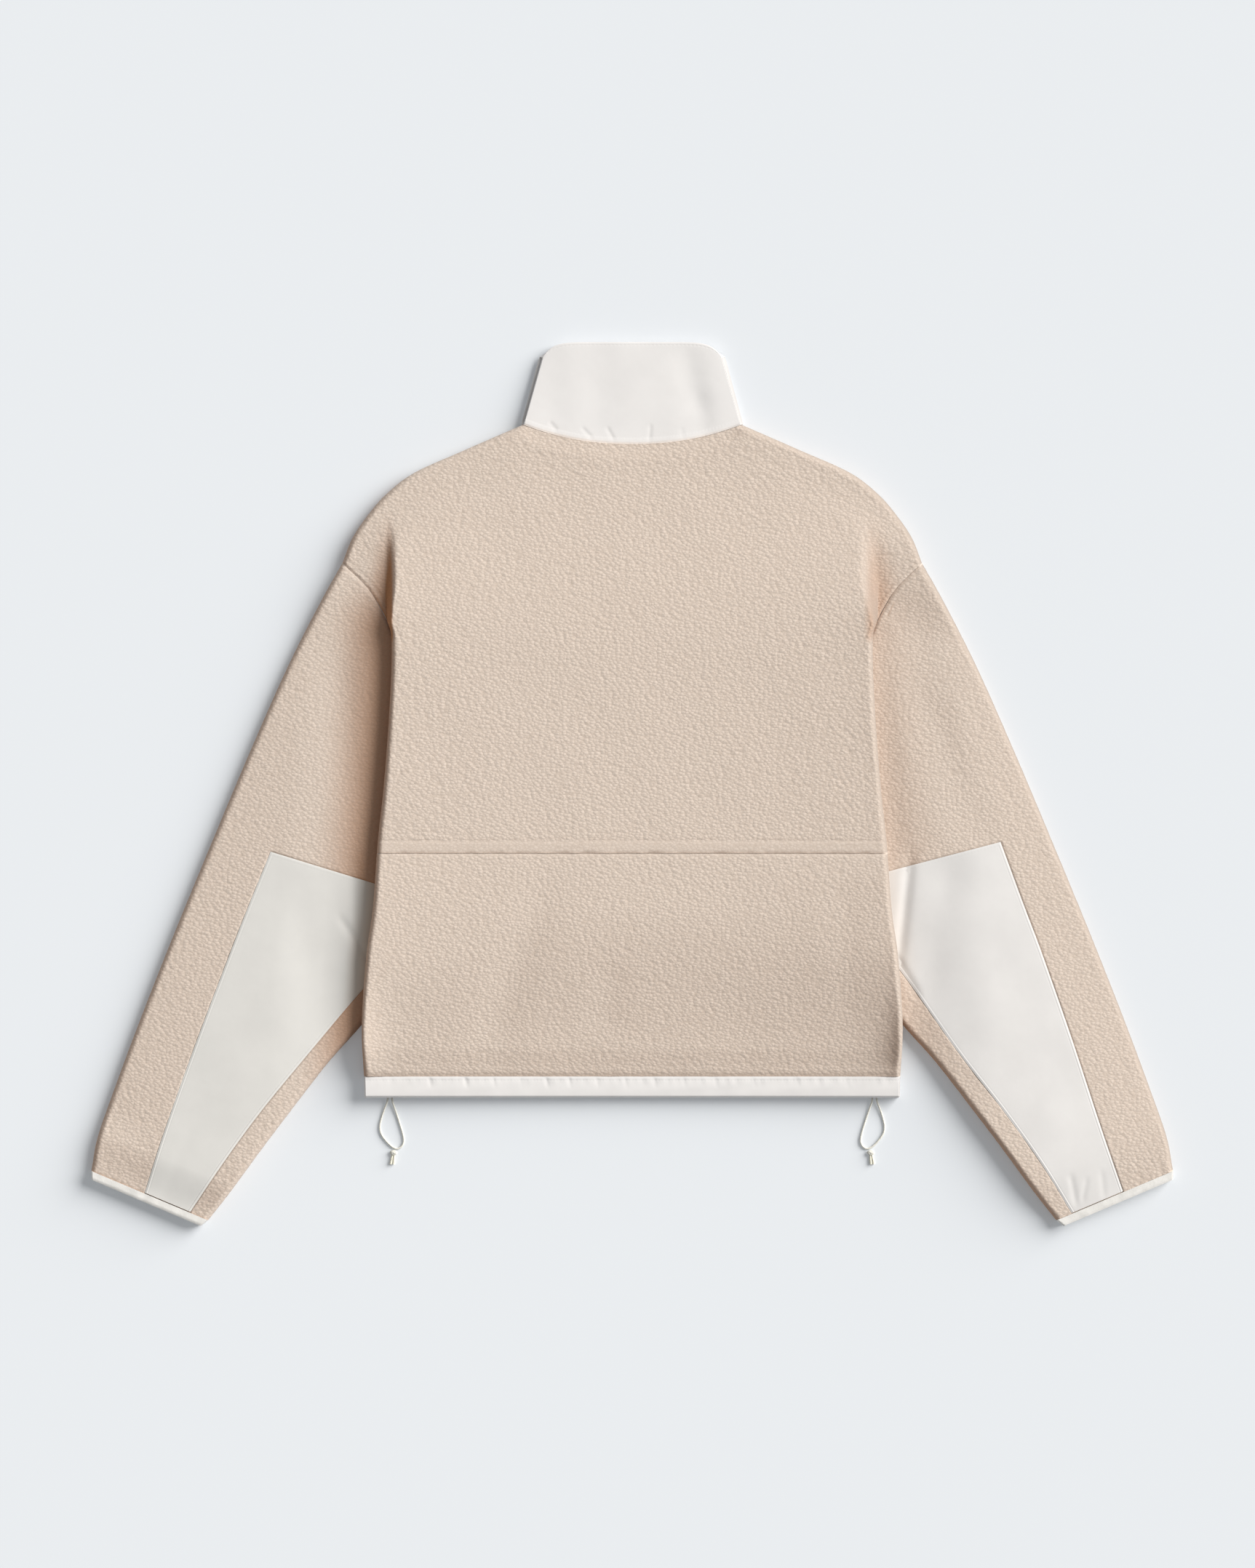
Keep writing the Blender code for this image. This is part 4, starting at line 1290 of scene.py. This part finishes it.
def lay_panels(cloths):
    for which, sign in SIDES:

        def face(u, v, inner, sign=sign, which=which):
            plan = patches[which]
            place = plan.place(u, 1.0 - v)
            low = arm_top(place, which) + HAIR
            laid = place * (sign, 1.0)
            if inner:
                return np.column_stack([laid, low])
            away = np.abs(plan.inside(place))
            on_top, _ = plan.top.nearest(place)
            top = arm_level(place, which) + PANEL_RISE
            top += 0.08 * (1.0 - settle((away - HEM_TURN) / 1.0))
            top -= 0.3 * (1.0 - settle(away / 1.6))
            run = np.where(on_top <= away + 0.01, place[:, 0], place[:, 1])
            top -= stitched(run, away - PANEL_STITCH, 2.8, 0.12)
            top -= creased(laid, PANEL_FOLDS[which])
            top += 0.18 * ripples(laid, 70.0, 3 if sign > 0 else 4)
            return np.column_stack([laid, np.maximum(top, low + 0.15)])

        made, places, *_ = wall(f"panel_cloth_{which}", 224, 336, face, coarse=14)
        # Painted shade on the panel beside the body.
        near = 1.0 - settle(off_body(mirrored(places)) / 20.0)
        attribute(made.data, "shade_by_body", near * PANEL_SHADOW_SHARE[which])
        finish_piece(made, cloths[which], f"elbow_panel_{which}")


def lay_cuffs(cloth):
    end = np.array(CUFF_OUTER), np.array(CUFF_INNER)
    down = np.array((-along_cuff[1], along_cuff[0]))
    start = cuff_start[0] + down * HAIR, cuff_start[1] + down * HAIR
    rims = (
        (Line((start[0], end[0]), False), 1.0),
        (Flipped(Line((start[1], end[1]), False)), 1.0),
    )
    for seed, (which, sign) in enumerate(SIDES):

        def face(u, v, inner, sign=sign, seed=seed):
            share, top = tube_share(u, 0.06)
            down_v = (1.0 - v)[:, None]
            outer = start[0] + (end[0] - start[0]) * down_v
            inside = start[1] + (end[1] - start[1]) * down_v
            place = outer + (inside - outer) * share[:, None]
            depth = np.full(len(u), CUFF_DEPTH_AT_FLEECE)
            found = tube_face(
                inner, place, top, depth, BINDING_WALL, rims, HEM_RADIUS, along_cuff
            )
            if not inner:
                fall = 0.7 * np.clip(0.4 - v, 0.0, 1.0) ** 2 / 0.4**2
                lumps = ripples(np.column_stack([share * 104.0, v * 3.0]), 9.0, 41 + seed)
                found[:, 2] += np.where(top, 0.25 - fall + lumps * 0.1, 0.0)
            return found * (sign, 1.0, 1.0)

        made, *_ = wall(f"cuff_band_{which}", 240, 16, face, coarse=8, tube=True)
        finish_piece(made, cloth, f"cuff_{which}")


BACK_COLUMNS = 0.76  # of an open ring's columns, how many lie across the back


def open_ring(u, fold):
    """Share out from the middle, side and layer, round a ring that opens at the front."""
    share = np.abs(2.0 * u - 1.0)
    back = share <= BACK_COLUMNS
    out = np.where(back, share / BACK_COLUMNS, (1.0 - share) / (1.0 - BACK_COLUMNS))
    return eased(out, fold), np.where(u < 0.5, -1.0, 1.0), back


# Where the hem casing puckers at its seam: x, depth.
HEM_PUCKERS = (
    (-172.5, 0.9), (-142.0, 1.0), (-118.0, 0.6), (-95.0, 0.4), (-73.0, 1.0), (-53.5, 0.8),
    (-30.0, 0.6), (-6.0, 0.5), (19.0, 0.6), (44.0, 0.35), (71.0, 0.5), (104.0, 0.35),
    (141.0, 0.5), (183.0, 0.4),
)
HEM_STITCH = 3.4


def lay_hem(cloth):
    hem_x = float(side.x_at(HEM_Y))
    edge = Line([(hem_x, HEM_Y), (hem_x - 0.4, HEM_END_Y)], smooth=False)

    def face(u, v, inner):
        share, sign, back = open_ring(u, 0.05)
        y = between(HEM_END_Y, HEM_Y - HAIR / 2, v)
        x = between(np.where(back, 0.0, FRONT_EDGE_X), edge.x_at(y), share)
        place = np.column_stack([x, y])
        depth = np.where(back, HEM_DEPTH - 0.7, CASING_DEPTH) + np.where(back, hem_lift(x), 0.0)
        found = tube_face(inner, place, back, depth, CASING_WALL, ((edge, 1.0),), HEM_RADIUS)
        if not inner:
            from_seam = HEM_Y - y
            across = x * sign
            shape = 0.3 * np.sin(math.pi * np.clip((from_seam - HEM_STITCH) / 14.0, 0.0, 1.0))
            shape -= 0.35 * bell(from_seam, 0.9)
            shape -= stitched(across, from_seam - HEM_STITCH, 2.8, 0.16)
            for place_x, deep in HEM_PUCKERS:
                off = across - place_x - (from_seam - HEM_STITCH) * 0.18
                fade = settle((12.0 - from_seam) / 9.0) * settle(from_seam / 2.0)
                shape -= deep * 0.5 * fade * bell(off, 2.0)
            near_stitch = bell(from_seam - HEM_STITCH, 3.5)
            shape += 0.1 * near_stitch * ripples(np.column_stack([across, y * 0.3]), 7.0, 19)
            shape += 0.1 * ripples(np.column_stack([across, y * 2.0]), 22.0, 9)
            low_end = settle((y - HEM_END_Y) / 2.2)
            shape -= 2.0 * (1.0 - low_end) ** 2
            found[:, 2] += np.where(back, shape, 0.0)
        return signed(found, sign)

    made, *_ = wall("hem_band", 1000, 36, face, coarse=4)
    finish_piece(made, cloth, "hem_casing")


# Small pulls in the collar above the neck seam: x1, y1, x2, y2, width, depth.
COLLAR_FOLDS = (
    (-70.0, 308.0, -65.0, 302.0, 2.2, 0.3), (-42.0, 303.0, -35.0, 295.5, 2.0, 0.3),
    (-21.0, 303.0, -16.0, 294.0, 2.0, 0.28), (15.5, 305.0, 14.5, 294.0, 2.0, 0.25),
    (42.0, 303.0, 43.0, 296.0, 2.4, 0.15), (44.0, 366.0, 56.0, 322.0, 12.0, 0.8),
    (56.0, 330.0, 63.0, 298.0, 9.0, 0.4), (-60.0, 362.0, -66.0, 322.0, 14.0, 0.15),
)


def lay_collar(cloth):
    base_x = NECK_X - CURVED_SEAM
    fold = Line(((base_x, NECK_Y + CURVED_SEAM), COLLAR_CORNER), False)
    corner_x, corner_y = COLLAR_CORNER

    def face(u, v, inner):
        share, sign, back = open_ring(u, 0.06)
        top_y = between(corner_y, COLLAR_TOP_Y, 1.0 - share**COLLAR_CORNER_POWER)
        low = np.column_stack([base_x * share, back_neck_y(share)])
        high = np.column_stack([corner_x * share, top_y])
        x = between(FRONT_EDGE_X, base_x, share)
        front_low = np.column_stack(
            [x - CURVED_SEAM * settle(share * 3) * (1 - share), front_neck_y(x / base_x)]
        )
        x = between(FRONT_EDGE_X, corner_x, share)
        rise = (x / corner_x) ** BACK_NECK_POWER
        front_high = np.column_stack([x, between(FRONT_TOP_Y, corner_y, rise)])
        low = np.where(back[:, None], low + (0.0, HAIR), front_low + (0.0, CURVED_SEAM))
        high = np.where(back[:, None], high, front_high)
        place = low + (high - low) * v[:, None]
        depth = between(*COLLAR_DEPTH, v)
        rims = ((fold, 1.0),)
        found = tube_face(inner, place, back, depth, COLLAR_WALL, rims, COLLAR_RADIUS)
        if not inner:
            laid = signed(place, sign)
            from_seam = (place[:, 1] - low[:, 1]) * 0.98
            shape = 0.2 * (1.0 - settle((from_seam - 4.2) / 1.2))
            shape -= stitched(laid[:, 0], from_seam - 4.4, 2.8, 0.12)
            shape -= 0.6 * bell(from_seam, 1.0)
            shape -= creased(laid, COLLAR_FOLDS)
            shape += 0.18 * ripples(laid, 48.0, 17)
            from_top = (high - place)[:, 1]
            shape -= 0.35 * (1.0 - settle(from_top / 1.6)) ** 2
            shape -= stitched(laid[:, 0], from_top - 2.4, 3.4, 0.16)
            found[:, 2] += np.where(back, shape, 0.0)
        return signed(found, sign)

    made, *_ = wall("collar_cloth", 440, 144, face, coarse=8)
    finish_piece(made, cloth, "collar")


def set_stage():
    """A plain pale surface, which glows a little so that the shadows stay light."""
    mesh = bmesh.new()
    bmesh.ops.create_grid(mesh, x_segments=1, y_segments=1, size=4.0)
    bmesh.ops.translate(mesh, verts=mesh.verts, vec=(0.0, 0.0, -0.0002))
    data = drawn("surface", mesh)
    surface = Cloth(
        "pale_surface",
        Roughness=0.9,
        Specular_IOR_Level=0.1,
        Base_Color=(0.70, 0.722, 0.75, 1.0),
        Emission_Color=(0.80, 0.835, 0.865, 1.0),
        Emission_Strength=0.13,
    )
    data.materials.append(surface.material)
    placed("surface", data)


def repaint(node, cloth):
    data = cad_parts[node].data
    data.materials.clear()
    data.materials.append(cloth)


def main():
    sight()
    light()
    lay_cords()
    set_stage()
    fleece = fleece_cloth()
    lay_back(fleece)
    lay_fronts(fleece)
    lay_sleeves(fleece)
    panels = {}
    for which, sign in SIDES:
        # Each panel gets painted shade beside the body, in a warm colour.
        name, colour = f"panel_weave_{which}", PANEL_COLOURS_WITH_SHADE[which]
        panels[which] = woven_cloth(name, colour, sign * THREAD_TURN, "shade_by_body", PANEL_SHADOW_PAINT)
    lay_panels(panels)
    lay_cuffs(binding_cloth())
    trim = woven_cloth("trim_weave", WOVEN_COLOUR)
    lay_hem(trim)
    lay_collar(trim)
    for node in ("placket_outer", "placket_inner"):
        repaint(node, trim)
    plastic = stud_plastic()
    for index in range(STUDS):
        repaint(f"stud_{index + 1}", plastic)


main()
